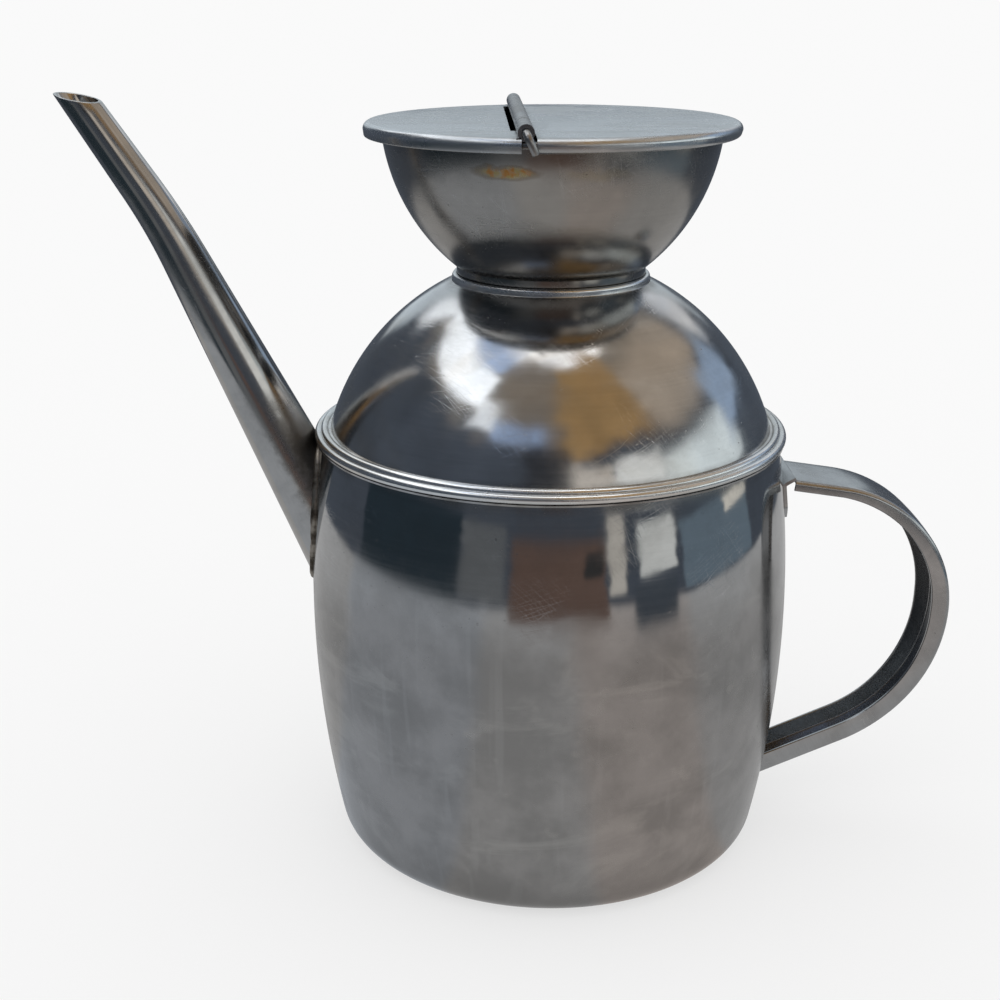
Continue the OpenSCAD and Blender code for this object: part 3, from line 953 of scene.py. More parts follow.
@dataclass
class Shoulder:
    """The domed shoulder and the collar on it."""

    size: Sizes = SIZES
    arc_steps: int = 56
    bore_gap: float = 0.02
    fillet_r: float = 0.45
    root: float = 0.6
    inner_drop: float = 0.35

    def build(self, finish: Finishes) -> None:
        """Makes the dome and the collar."""
        steel = finish.shoulder.material()
        add_piece("shoulder_sheet", self._dome(), "can", steel,
                  ["shoulder_dome"])
        add_piece("collar", self._collar(), "can",
                  finish.bead.material(), ["neck_collar"])

    def _dome(self) -> bmesh.types.BMesh:
        """The dome from the seam to the neck's hole."""
        size = self.size
        bm = bmesh.new()
        centre = (-size.dome_offset, size.dome_cz)
        inner_r = size.dome_r - size.sheet
        low = heading(size.dome_foot_r + size.dome_offset, size.dome_drop)
        hole = size.hole_r + self.bore_gap
        high = math.degrees(math.acos((hole + size.dome_offset) / size.dome_r))
        inner_high = math.degrees(math.acos((hole + size.dome_offset) / inner_r))
        inner_low = math.degrees(math.asin(size.dome_drop / inner_r))
        wire = Outline(bm, size.dome_foot_r, size.seam_z)
        wire.arc(*centre, high - low, self.arc_steps)
        wire.line(hole, size.dome_cz + inner_r * math.sin(math.radians(inner_high)))
        wire.arc(*centre, inner_low - inner_high, self.arc_steps)
        wire.close()
        revolve(bm)
        return bm

    def _collar(self) -> bmesh.types.BMesh:
        """The collar with its rounded top and a small fillet on the dome."""
        size = self.size
        bm = bmesh.new()
        half = size.collar_t / 2
        foot_r = size.collar_r + self.fillet_r
        foot_z = size.dome_at(foot_r)
        wire = Outline(bm, size.hole_r, size.dome_at(size.hole_r) - self.root)
        wire.line(foot_r, foot_z - self.root)
        wire.line(foot_r, foot_z)
        wire.arc(foot_r, foot_z + self.fillet_r, -80, 5)
        wire.line(size.collar_r, size.neck_z - half)
        wire.arc(size.collar_r - half, size.neck_z - half, 130, 10)
        wire.line(size.hole_r, size.neck_z - self.inner_drop)
        wire.close()
        revolve(bm)
        return bm


@dataclass
class Spout:
    """The bent, flared spout and the brazed bead at its root."""

    size: Sizes = SIZES
    tube_r: float = 4.6
    taper: float = 0.8
    tube_t: float = 0.6
    bend: tuple[float, float] = (-84.0, 144.67)
    tip_slope: float = 57.5
    root_slope: float = 64.7
    flare: float = 2.85
    mouth_z: float = 170.9
    mouth_cut: float = 10.0
    mouth_lean: float = 6.0
    blend: float = 9.0
    sides: int = 72
    root_reach: float = 94.0
    root_steps: int = 25
    bend_steps: int = 13
    tip_steps: int = 8
    spare: float = 6.0
    rim_round: float = 0.2
    block_z: tuple[float, float] = (20.0, 93.0)
    block_steps: int = 36
    bead_r: float = 1.05
    bead_spread: float = 0.35
    bead_steps: int = 150
    bead_sides: int = 16

    def build(self, finish: Finishes) -> None:
        """Makes the tube and its bead."""
        add_piece("spout_pipe", self._tube(), "can",
                  finish.spout.material(), ["spout_tube"])
        add_piece("spout_bead", self._bead(), "can", finish.braze.material(),
                  ["spout_braze"])

    def _path(self) -> tuple[list[Vector], list[float]]:
        """Centres and radii from inside the can to past the mouth."""
        bend = Vector((self.bend[0], 0, self.bend[1]))
        down = Vector((math.cos(math.radians(self.root_slope)), 0,
                       -math.sin(math.radians(self.root_slope))))
        rise = Vector((-math.cos(math.radians(self.tip_slope)), 0,
                       math.sin(math.radians(self.tip_slope))))
        centres, radii = [], []
        flare = math.tan(math.radians(self.flare))
        length = (self.mouth_z - self.bend[1]) / math.sin(math.radians(self.tip_slope))
        for step in range(self.root_steps + 1):
            reach = self.root_reach - step * (self.root_reach - self.blend) / self.root_steps
            centres.append(bend + down * reach)
            radii.append(self.tube_r + reach * flare)
        for step in range(1, self.bend_steps):
            t = step / self.bend_steps
            low, high = bend + down * self.blend, bend + rise * self.blend
            centres.append(low * (1 - t) ** 2 + bend * (2 * t * (1 - t)) + high * t ** 2)
            widen = self.blend * flare * (1 - t) ** 2
            radii.append(self.tube_r + widen - self.taper * self.blend / length * t ** 2)
        for step in range(self.tip_steps + 1):
            reach = self.blend + step * (length + self.spare - self.blend) / self.tip_steps
            centres.append(bend + rise * reach)
            radii.append(self.tube_r - self.taper * reach / length)
        return centres, radii

    def _tube(self) -> bmesh.types.BMesh:
        """The tube with its bore, cut at the mouth and at the can's wall."""
        bm = bmesh.new()
        centres, radii = self._path()
        side = Vector((0, 1, 0))
        outer = sweep_round(bm, centres, radii, side, self.sides)
        bores = [radius - self.tube_t for radius in radii]
        inner = sweep_round(bm, centres, bores, side, self.sides)
        for at in (0, -1):
            bmesh.ops.bridge_loops(bm, edges=outer[at] + inner[at])
        bmesh.ops.recalc_face_normals(bm, faces=bm.faces)
        reach = (self.mouth_z - self.bend[1]) / math.tan(math.radians(self.tip_slope))
        mouth = (self.bend[0] - reach, 0, self.mouth_z)
        lean, side_lean = math.radians(self.mouth_cut), math.radians(self.mouth_lean)
        cut = bmesh.ops.bisect_plane(
            bm, geom=bm.verts[:] + bm.edges[:] + bm.faces[:], plane_co=mouth,
            plane_no=(math.cos(side_lean) * math.sin(lean), -math.sin(side_lean),
                      math.cos(side_lean) * math.cos(lean)), clear_outer=True)
        rim = [e for e in cut["geom_cut"] if isinstance(e, bmesh.types.BMEdge)]
        made = bmesh.ops.bridge_loops(bm, edges=rim)
        bmesh.ops.recalc_face_normals(bm, faces=bm.faces)
        edges = list({e for f in made["faces"] for e in f.edges
                      if e.calc_face_angle(0) > 0.5})
        bmesh.ops.bevel(bm, geom=edges, offset=self.rim_round, segments=3, profile=0.5,
                        affect="EDGES", material=-1, offset_type="OFFSET")
        return carve(bm, self._can_block())

    def _can_block(self) -> bmesh.types.BMesh:
        """The can's solid up to the middle of its sheet."""
        size = self.size
        bm = bmesh.new()
        low, high = self.block_z
        radius = size.wall_r - size.sheet / 2
        start = math.degrees(math.asin((low - size.belly_z) / radius))
        end = math.degrees(math.asin((high - size.belly_z) / radius))
        wire = Outline(bm, 0.0, low)
        wire.line(size.wall_cx + radius * math.cos(math.radians(start)), low)
        wire.arc(size.wall_cx, size.belly_z, end - start, self.block_steps)
        wire.line(0.0, wire.tip.co.z)
        revolve(bm, 144)
        return bm

    def _bead(self) -> bmesh.types.BMesh:
        """The uneven bead that follows the line where spout and wall meet."""
        size = self.size
        root = math.radians(self.root_slope)
        down = Vector((math.cos(root), 0, -math.sin(root)))
        out = Vector((math.sin(root), 0, math.cos(root)))
        bend = Vector((self.bend[0], 0, self.bend[1]))
        path, radii = [], []
        for index in range(self.bead_steps):
            turn = FULL_TURN * index / self.bead_steps
            ray = out * math.cos(turn) + Vector((0, 1, 0)) * math.sin(turn)
            low, high = 30.0, 100.0
            for _ in range(40):
                reach = (low + high) / 2
                width = self.tube_r + reach * math.tan(math.radians(self.flare))
                here = bend + down * reach + ray * width
                inside = math.hypot(here.x, here.y) < size.wall_at(here.z)
                low, high = (low, reach) if inside else (reach, high)
            lump = noise.noise(here * 0.3) * 0.25 + noise.noise(here * 0.9) * 0.08
            path.append(here)
            radii.append(self.bead_r + lump + self.bead_spread * math.cos(turn))
        bm = bmesh.new()
        side = Vector((-1, 0.02, 0.3))
        sweep_round(bm, path, radii, side, self.bead_sides, closed=True)
        tidy(bm)
        return bm


@dataclass
class Handle:
    """The strap with its turned-in edges, and the tab that holds it to the can."""

    size: Sizes = SIZES
    width_top: float = 8.4
    width_low: float = 5.6
    sheet: float = 0.8
    fold_r: float = 1.15
    crown: float = 0.18
    up_centre: tuple[float, float, float] = (62.25, 53.85, 31.8)
    low_centre: tuple[float, float, float] = (56.45, 53.85, 37.6)
    up_slope: float = 8.5
    low_slope: float = 23.5
    depth_up: float = 2.6
    depth_mid: float = 4.7
    depth_low: float = 4.8
    crease: tuple[float, float] = (55.69, 86.98)
    foot_x: float = 50.75
    widen_z: tuple[float, float] = (24.0, 79.3)
    run_steps: int = 8
    bend_steps: int = 28
    fold_steps: int = 6
    lip_share: float = 0.22
    tab_low_z: float = 76.68
    tab_drop: float = 1.3
    tab_bend: float = 0.22
    tab_corner_h: float = 4.0
    tab_end: float = 4.0
    tab_rows: int = 22
    tab_columns: int = 16

    def build(self, finish: Finishes) -> None:
        """Makes the strap and its tab."""
        steel = finish.handle.material()
        add_piece("handle_channel", self._strap(), "can", steel,
                  ["handle_strap"])
        add_piece("handle_tab", self._tab(), "can", steel)

    def _half_width(self, z: float) -> float:
        """Half of the strap's width at a height."""
        low, high = self.widen_z
        share = min(1.0, max(0.0, (z - low) / (high - low)))
        return self.width_low + (self.width_top - self.width_low) * share

    def _path(self) -> list[tuple[Vector, Vector, float]]:
        """Points of the outer curve, with the inward normal and the edges' depth."""
        ux, uz, ur = self.up_centre
        lx, lz, lr = self.low_centre
        made: list[tuple[Vector, Vector, float]] = []
        up, low = math.radians(90 - self.up_slope), math.radians(90 - self.low_slope)
        start = Vector((self.crease[0], 0, self.crease[1]))
        end = Vector((ux + ur * math.cos(up), 0, uz + ur * math.sin(up)))
        inward = Vector((-math.cos(up), 0, -math.sin(up)))
        for step in range(self.run_steps):
            made.append((start.lerp(end, step / self.run_steps), inward, self.depth_up))
        for step in range(self.bend_steps):
            turn = up * (1 - step / self.bend_steps)
            spoke = Vector((math.cos(turn), 0, math.sin(turn)))
            depth = (self.depth_up
                     + (self.depth_mid - self.depth_up) * step / self.bend_steps)
            made.append((Vector((ux, 0, uz)) + spoke * ur, -spoke, depth))
        for step in range(self.bend_steps + 1):
            turn = -low * step / self.bend_steps
            spoke = Vector((math.cos(turn), 0, math.sin(turn)))
            depth = (self.depth_mid
                     + (self.depth_low - self.depth_mid) * step / self.bend_steps)
            made.append((Vector((lx, 0, lz)) + spoke * lr, -spoke, depth))
        last, inward, depth = made[-1]
        along = Vector((-math.cos(math.radians(self.low_slope)), 0,
                        -math.sin(math.radians(self.low_slope))))
        run = (last.x - self.foot_x) / -along.x
        for step in range(1, self.run_steps + 1):
            made.append((last + along * run * step / self.run_steps, inward, depth))
        return made

    def _section(self, half: float, depth: float) -> list[tuple[float, float]]:
        """The strap's section, as distances across and inwards.

        Args:
            half: Half of the width.
            depth: How far the edges are turned in.

        Returns:
            The closed outline.
        """
        fold, sheet = self.fold_r, self.sheet
        def side(inset: float, sign: int) -> list[tuple[float, float]]:
            """One fold from its free edge to the flat, drawn in by the inset."""
            radius = fold - inset
            points = [(sign * (half - inset), depth)]
            for step in range(self.fold_steps + 1):
                turn = math.radians(90 * step / self.fold_steps)
                points.append((sign * (half - fold + radius * math.cos(turn)),
                               fold + self.crown - radius * math.sin(turn)))
            return points
        def across(inset: float) -> list[tuple[float, float]]:
            """The crowned flat between the folds."""
            reach = half - fold
            return [(reach * k / 4, inset + self.crown * (k / 4) ** 2)
                    for k in (3, 2, 1, 0, -1, -2, -3)]
        outer = side(0.0, 1) + across(0.0) + side(0.0, -1)[::-1]
        inner = side(sheet, 1) + across(sheet) + side(sheet, -1)[::-1]
        lip = sheet * self.lip_share
        outer[0], outer[-1] = ((outer[0][0], depth - lip), (outer[-1][0], depth - lip))
        inner[0], inner[-1] = ((inner[0][0], depth - lip), (inner[-1][0], depth - lip))
        return (outer + [(-half + lip, depth), (-half + sheet - lip, depth)]
                + inner[::-1] + [(half - sheet + lip, depth), (half - lip, depth)])

    def _strap(self) -> bmesh.types.BMesh:
        """The channel-shaped strap from the crease to the foot."""
        bm = bmesh.new()
        loop: list[bmesh.types.BMEdge] = []
        ring: list[bmesh.types.BMVert] = []
        for index, (point, inward, depth) in enumerate(self._path()):
            section = self._section(self._half_width(point.z), depth)
            spots = [point + inward * n + Vector((0, y, 0)) for y, n in section]
            if not ring:
                ring = [bm.verts.new(spot) for spot in spots]
                loop = [bm.edges.new((a, b)) for a, b in zip(ring, ring[1:] + ring[:1])]
                bmesh.ops.contextual_create(bm, geom=loop)
                continue
            made = bmesh.ops.extrude_edge_only(bm, edges=loop)
            new = [v for v in made["geom"] if isinstance(v, bmesh.types.BMVert)]
            moved = {}
            for vert in new:
                old = next(e.other_vert(vert) for e in vert.link_edges
                           if e.other_vert(vert) in ring)
                moved[old] = vert
            ring = [moved[vert] for vert in ring]
            for vert, spot in zip(ring, spots):
                vert.co = spot
            loop = [bm.edges.get((a, b)) for a, b in zip(ring, ring[1:] + ring[:1])]
        bmesh.ops.contextual_create(bm, geom=loop)
        tidy(bm)
        return bm

    def _tab(self) -> bmesh.types.BMesh:
        """The end of the strap, bent back to the can and down along its wall."""
        size = self.size
        bm = bmesh.new()
        made = bmesh.ops.create_grid(bm, x_segments=self.tab_columns,
                                     y_segments=self.tab_rows, size=1.0)
        foot_z = self.crease[1] - self.tab_drop
        for vert in made["verts"]:
            across, down = vert.co.x, (1 - vert.co.y) / 2
            fall = max(0.0, down - self.tab_bend) / (1 - self.tab_bend)
            z_wall = foot_z - (foot_z - self.tab_low_z) * fall
            taper = max(0.0, 1 - (z_wall - self.tab_low_z) / self.tab_corner_h)
            half = self.width_top - (self.width_top - self.tab_end) * taper
            y = across * half
            wall_x = math.sqrt((size.wall_at(z_wall) + self.sheet) ** 2 - y * y)
            lift = max(0.0, 1 - down / self.tab_bend)
            x = wall_x + (self.crease[0] - 0.05 - wall_x) * lift
            z = z_wall + (self.crease[1] - z_wall) * lift
            vert.co = (x, y, z)
        bmesh.ops.recalc_face_normals(bm, faces=bm.faces)
        middle = min(bm.faces, key=lambda f: abs(f.calc_center_median().y) +
                     abs(f.calc_center_median().z - 82))
        if middle.normal.x < 0:
            bmesh.ops.reverse_faces(bm, faces=bm.faces)
        bmesh.ops.solidify(bm, geom=bm.faces[:], thickness=self.sheet - 0.05)
        bmesh.ops.recalc_face_normals(bm, faces=bm.faces)
        return bm


@dataclass
class Funnel:
    """The bowl with its rim, its foot and spigot, and the strainer."""

    size: Sizes = SIZES
    hole_r: float = 0.8
    hole_step: float = 3.6
    arc_steps: int = 48
    rim_round: float = 0.4
    spigot_round: float = 0.3
    foot_round: float = 0.25
    foot_gap: float = 0.02
    ledge: float = 0.8
    disc_gap: float = 0.01
    disc_h: float = 1.3
    disc_wall: float = 0.7
    disc_t: float = 0.6
    rings: int = 5

    def build(self, finish: Finishes) -> None:
        """Makes the three pieces."""
        steel = finish.bowl.material()
        inside = finish.inside.material()
        add_piece("bowl", self._bowl(), "funnel", steel,
                  ["funnel_bowl"])
        add_piece("funnel_foot", self._foot(), "funnel", steel,
                  ["funnel_spigot"])
        add_piece("strainer_disc", self._strainer(), "funnel", inside,
                  ["strainer"])

    def _bowl(self) -> bmesh.types.BMesh:
        """The bowl and the flat rim under the lid."""
        size = self.size
        bm = bmesh.new()
        centre = (-size.bowl_offset, size.bowl_cz)
        inner = size.bowl_r - size.sheet
        rim_low = size.lid_z - size.lid_h + size.crimp_t
        rim_top = size.lid_z - size.lid_t - size.lid_gap
        rim_r = size.lid_r - size.lid_t - size.rim_gap
        start = heading(size.foot_r + size.bowl_offset, size.foot_top_z - size.bowl_cz)
        end = math.degrees(math.asin((rim_low - size.bowl_cz) / size.bowl_r))
        top = math.degrees(math.asin((rim_top - 0.5 - size.bowl_cz) / inner))
        base = math.degrees(math.asin((size.foot_top_z - size.bowl_cz) / inner))
        wire = Outline(bm, size.foot_r, size.foot_top_z)
        fold = self.rim_round
        wire.arc(*centre, end - start, self.arc_steps)
        wire.line(rim_r - fold, rim_low).arc(rim_r - fold, rim_low + fold, 90, 4)
        wire.line(rim_r, rim_top - fold).arc(rim_r - fold, rim_top - fold, 90, 4)
        wire.line(size.bowl_at(rim_low) + 0.3, rim_top)
        wire.line(centre[0] + inner * math.cos(math.radians(top)), rim_top - 0.5)
        wire.arc(*centre, base - top, self.arc_steps)
        wire.close()
        revolve(bm)
        return bm

    def _foot(self) -> bmesh.types.BMesh:
        """The foot that rests on the collar and the spigot inside it."""
        size = self.size
        bm = bmesh.new()
        spigot_r = size.hole_r - size.spigot_gap
        inner = spigot_r - size.sheet
        low = size.neck_z - size.spigot_h
        bowl_in = size.bowl_r - size.sheet
        join_r = math.sqrt(bowl_in ** 2 - (size.foot_top_z - size.bowl_cz) ** 2)
        turn_r, foot_turn_r = spigot_r - self.spigot_round, size.foot_r - self.foot_round
        foot_z = size.neck_z + self.foot_gap
        wire = Outline(bm, inner - self.ledge, low)
        wire.line(turn_r, low).arc(turn_r, low + self.spigot_round, 90, 4)
        wire.line(spigot_r, foot_z)
        wire.line(foot_turn_r, foot_z)
        wire.arc(foot_turn_r, foot_z + self.foot_round, 90, 4)
        wire.line(size.foot_r, size.foot_top_z)
        wire.line(join_r - size.bowl_offset, size.foot_top_z)
        wire.line(inner, size.foot_top_z - 0.3)
        wire.line(inner, low + size.sheet)
        wire.line(inner - self.ledge, low + size.sheet)
        wire.close()
        revolve(bm)
        return bm

    def _strainer(self) -> bmesh.types.BMesh:
        """The pierced disc in the spigot."""
        size = self.size
        bm = bmesh.new()
        disc_r = size.hole_r - size.spigot_gap - size.sheet - self.disc_gap
        low = size.neck_z - size.spigot_h + size.sheet
        wire = Outline(bm, 0.0, low)
        wall_r, top = disc_r - self.disc_wall, low + self.disc_h
        wire.line(disc_r, low).line(disc_r, top).line(wall_r, top)
        wire.line(wall_r, low + self.disc_t).line(0.0, low + self.disc_t)
        revolve(bm, 96)
        drills = bmesh.new()
        for ring in range(self.rings):
            count = max(1, 6 * ring)
            for index in range(count):
                turn = FULL_TURN * index / count
                spot = (ring * self.hole_step * math.cos(turn),
                        ring * self.hole_step * math.sin(turn), low)
                bmesh.ops.create_cone(drills, cap_ends=True, segments=16,
                                      radius1=self.hole_r, radius2=self.hole_r,
                                      depth=4.0, matrix=Matrix.Translation(spot))
        return carve(bm, drills)


@dataclass
class Lid:
    """The fixed half lid, the hinged half lid and the pin between them."""

    size: Sizes = SIZES
    near_len: float = 14.0
    far_len: float = 6.0
    knuckle_gap: float = 0.3
    end_gap: float = 1.0
    half_gap: float = 0.9
    fixed_clear: float = 0.45
    flap_clear: float = 0.95
    side_clear: float = 0.15
    far_off: float = 60.0
    cut_z: tuple[float, float] = (100.0, 200.0)
    crimp_w: float = 0.6
    crimp_round: tuple[float, float] = (1.1, 0.9)
    skirt_round: tuple[float, float] = (0.45, 0.3)
    skirt_flare: float = 0.1
    skirt_turn: float = 76.0
    edge_share: float = 1.4
    roll_lead: tuple[float, float] = (1.9, 1.1)
    roll_gap: float = 0.03
    roll_sink: float = 0.02
    roll_turn: float = 318.0
    bore_steps: int = 26
    roll_steps: int = 30
    pin_bend_r: float = 1.6
    pin_lean: float = 25.0
    pin_clear: float = 0.2
    pin_over: float = 0.5
    pin_sides: int = 24
    bend_steps: int = 8
    pin_tip: tuple[tuple[float, float], ...] = ((0.35, 1.0), (0.12, 0.85), (0.0, 0.55))

    @property
    def half(self) -> float:
        """Half of the hinge's length."""
        return math.sqrt(self.size.lid_r ** 2 - self.size.hinge_x ** 2) - self.end_gap

    @property
    def middle(self) -> tuple[float, float]:
        """Ends of the middle knuckle."""
        return (-self.half + self.near_len + self.knuckle_gap,
                self.half - self.far_len - self.knuckle_gap)

    def build(self, finish: Finishes) -> None:
        """Makes both halves, their knuckles and the pin."""
        steel, rolled = finish.lid.material(), finish.knuckle.material()
        near, far = self.middle
        add_piece("lid_fixed_half", self._fixed(), "funnel", steel,
                  ["lid_fixed"])
        add_piece("knuckle_middle", self._knuckle(near, far, 1), "funnel",
                  rolled)
        add_piece("lid_hinged_half", self._flap(), "flap", steel,
                  ["lid_flap"])
        add_piece("knuckle_near", self._knuckle(-self.half, -self.half + self.near_len,
                                                -1), "flap", rolled)
        add_piece("knuckle_far", self._knuckle(self.half - self.far_len, self.half, -1),
                  "flap", rolled)
        add_piece("hinge_wire", self._pin(), "funnel",
                  finish.pin.material(), ["hinge_pin"])

    def _disc(self, crimped: bool) -> bmesh.types.BMesh:
        """The whole round lid, with or without the lip crimped under the rim."""
        size = self.size
        bm = bmesh.new()
        low, edge = size.lid_z - size.lid_h, size.lid_edge_r
        inner = edge - size.lid_t
        under_r = size.lid_r - size.lid_t - size.rim_gap - self.crimp_w
        back, rise = self.crimp_round if crimped else self.skirt_round
        turn_r = size.lid_r - back
        wire = Outline(bm, 0.0, size.lid_z - size.lid_t)
        wire.line(size.lid_r - edge, size.lid_z - size.lid_t)
        wire.arc(size.lid_r - edge, size.lid_z - edge, -90, 5)
        if crimped:
            wire.line(size.lid_r - edge + inner, low + size.crimp_t)
            wire.line(under_r, low + size.crimp_t).line(under_r, low)
        else:
            flare = self.skirt_flare
            wire.line(size.lid_r - edge + inner, low + flare)
            wire.line(size.lid_r - edge + inner + flare, low)
        wire.line(turn_r, low).arc(turn_r, low + rise, self.skirt_turn, 7 if crimped else 4)
        edge *= self.edge_share
        wire.line(size.lid_r, size.lid_z - edge)
        wire.arc(size.lid_r - edge, size.lid_z - edge, 90, 12)
        wire.line(0.0, size.lid_z)
        revolve(bm)
        return bm

    def _fixed(self) -> bmesh.types.BMesh:
        """The half that stays on the funnel."""
        size, far_off = self.size, self.far_off
        near, far = self.middle
        clear = size.hinge_x + size.knuckle_r + self.fixed_clear
        bm = self._cut(self._disc(True), (
            ((-far_off, -far_off), (size.hinge_x + self.half_gap, far_off)),))
        return self._cut(bm, (
            ((-far_off, -far_off), (clear, near - self.side_clear)),
            ((-far_off, far + self.side_clear), (clear, far_off))))

    def _flap(self) -> bmesh.types.BMesh:
        """The half that swings up."""
        size, far_off = self.size, self.far_off
        near, far = self.middle
        slot = size.hinge_x - size.knuckle_r - self.flap_clear
        bm = self._cut(self._disc(False), (
            ((size.hinge_x - self.half_gap, -far_off), (far_off, far_off)),))
        return self._cut(bm, (
            ((slot, near - self.knuckle_gap), (far_off, far + self.knuckle_gap)),))

    def _cut(self, bm: bmesh.types.BMesh,
             spans: Sequence[tuple[Sequence[float], Sequence[float]]]
             ) -> bmesh.types.BMesh:
        """Cuts upright blocks out of a mesh.

        Args:
            bm: The mesh, which is freed.
            spans: Two corners of each block, seen from above.

        Returns:
            The cut mesh.
        """
        blocks = bmesh.new()
        for low, high in spans:
            box(blocks, (*low, self.cut_z[0]), (*high, self.cut_z[1]))
        return carve(bm, blocks)

    def _knuckle(self, y0: float, y1: float, side: int) -> bmesh.types.BMesh:
        """A sheet edge rolled round the pin.

        Args:
            y0: Near end.
            y1: Far end.
            side: 1 where the sheet comes from +X, -1 where it comes from -X.

        Returns:
            The rolled sheet.
        """
        size = self.size
        bm = bmesh.new()
        bore = size.pin_r + size.pin_gap + self.roll_gap
        low, high = size.hinge_z - size.knuckle_r, size.hinge_z - bore
        lead, inner = (size.hinge_x + side * reach for reach in self.roll_lead)
        wire = Outline(bm, lead, low)
        wire.line(lead, size.lid_z - self.roll_sink).line(inner, high - self.roll_gap)
        wire.line(size.hinge_x, high)
        centre = (size.hinge_x, size.hinge_z)
        wire.arc(*centre, -side * self.roll_turn, self.bore_steps)
        tip = Vector((wire.tip.co.x - centre[0], wire.tip.co.z - centre[1])).normalized()
        wire.line(centre[0] + tip.x * size.knuckle_r, centre[1] + tip.y * size.knuckle_r)
        wire.arc(*centre, side * self.roll_turn, self.roll_steps)
        wire.close()
        face = bmesh.ops.contextual_create(bm, geom=bm.edges[:])["faces"]
        bmesh.ops.translate(bm, vec=(0, y0, 0), verts=bm.verts)
        made = bmesh.ops.extrude_face_region(bm, geom=face)
        verts = [v for v in made["geom"] if isinstance(v, bmesh.types.BMVert)]
        bmesh.ops.translate(bm, vec=(0, y1 - y0, 0), verts=verts)
        tidy(bm)
        return bm

    def _pin(self) -> bmesh.types.BMesh:
        """The wire through the knuckles, bent down at its near end."""
        size = self.size
        bend_r, lean = self.pin_bend_r, math.radians(self.pin_lean)
        bend_y = bend_r - size.lid_r - size.pin_r - self.pin_clear
        far = self.half + self.pin_over
        leg = (size.hinge_z - bend_r - size.lid_z + size.lid_h + self.pin_clear)
        leg /= math.cos(lean)
        path, radii = [], []
        for back, share in reversed(self.pin_tip):
            path.append(Vector((0, far - back, 0)))
            radii.append(size.pin_r * share)
        for step in range(self.bend_steps + 1):
            turn = math.radians(90 * step / self.bend_steps)
            path.append(Vector((0, bend_y - bend_r * math.sin(turn),
                                bend_r * (math.cos(turn) - 1))))
            radii.append(size.pin_r)
        for back, share in self.pin_tip:
            path.append(Vector((0, bend_y - bend_r, -bend_r - (leg - back))))
            radii.append(size.pin_r * share)
        bm = bmesh.new()
        sweep_round(bm, path, radii, Vector((1, 0, 0)), self.pin_sides, capped=True)
        bmesh.ops.rotate(bm, verts=bm.verts, cent=(0, 0, 0),
                         matrix=Matrix.Rotation(-lean, 3, "Y"))
        bmesh.ops.translate(bm, verts=bm.verts, vec=(size.hinge_x, 0, size.hinge_z))
        tidy(bm)
        return bm


@dataclass(frozen=True)
class Patch:
    """A soft patch of light or shade round the object, seen only in its gloss.

    The spans are degrees round the axis, from the camera's side towards +X, and
    degrees of height above the object, or metres from the axis for one on the table.
    """

    west: float
    east: float
    low: float
    high: float
    colour: COLOUR
    soft: float = 5.0
    share: float = 1.0


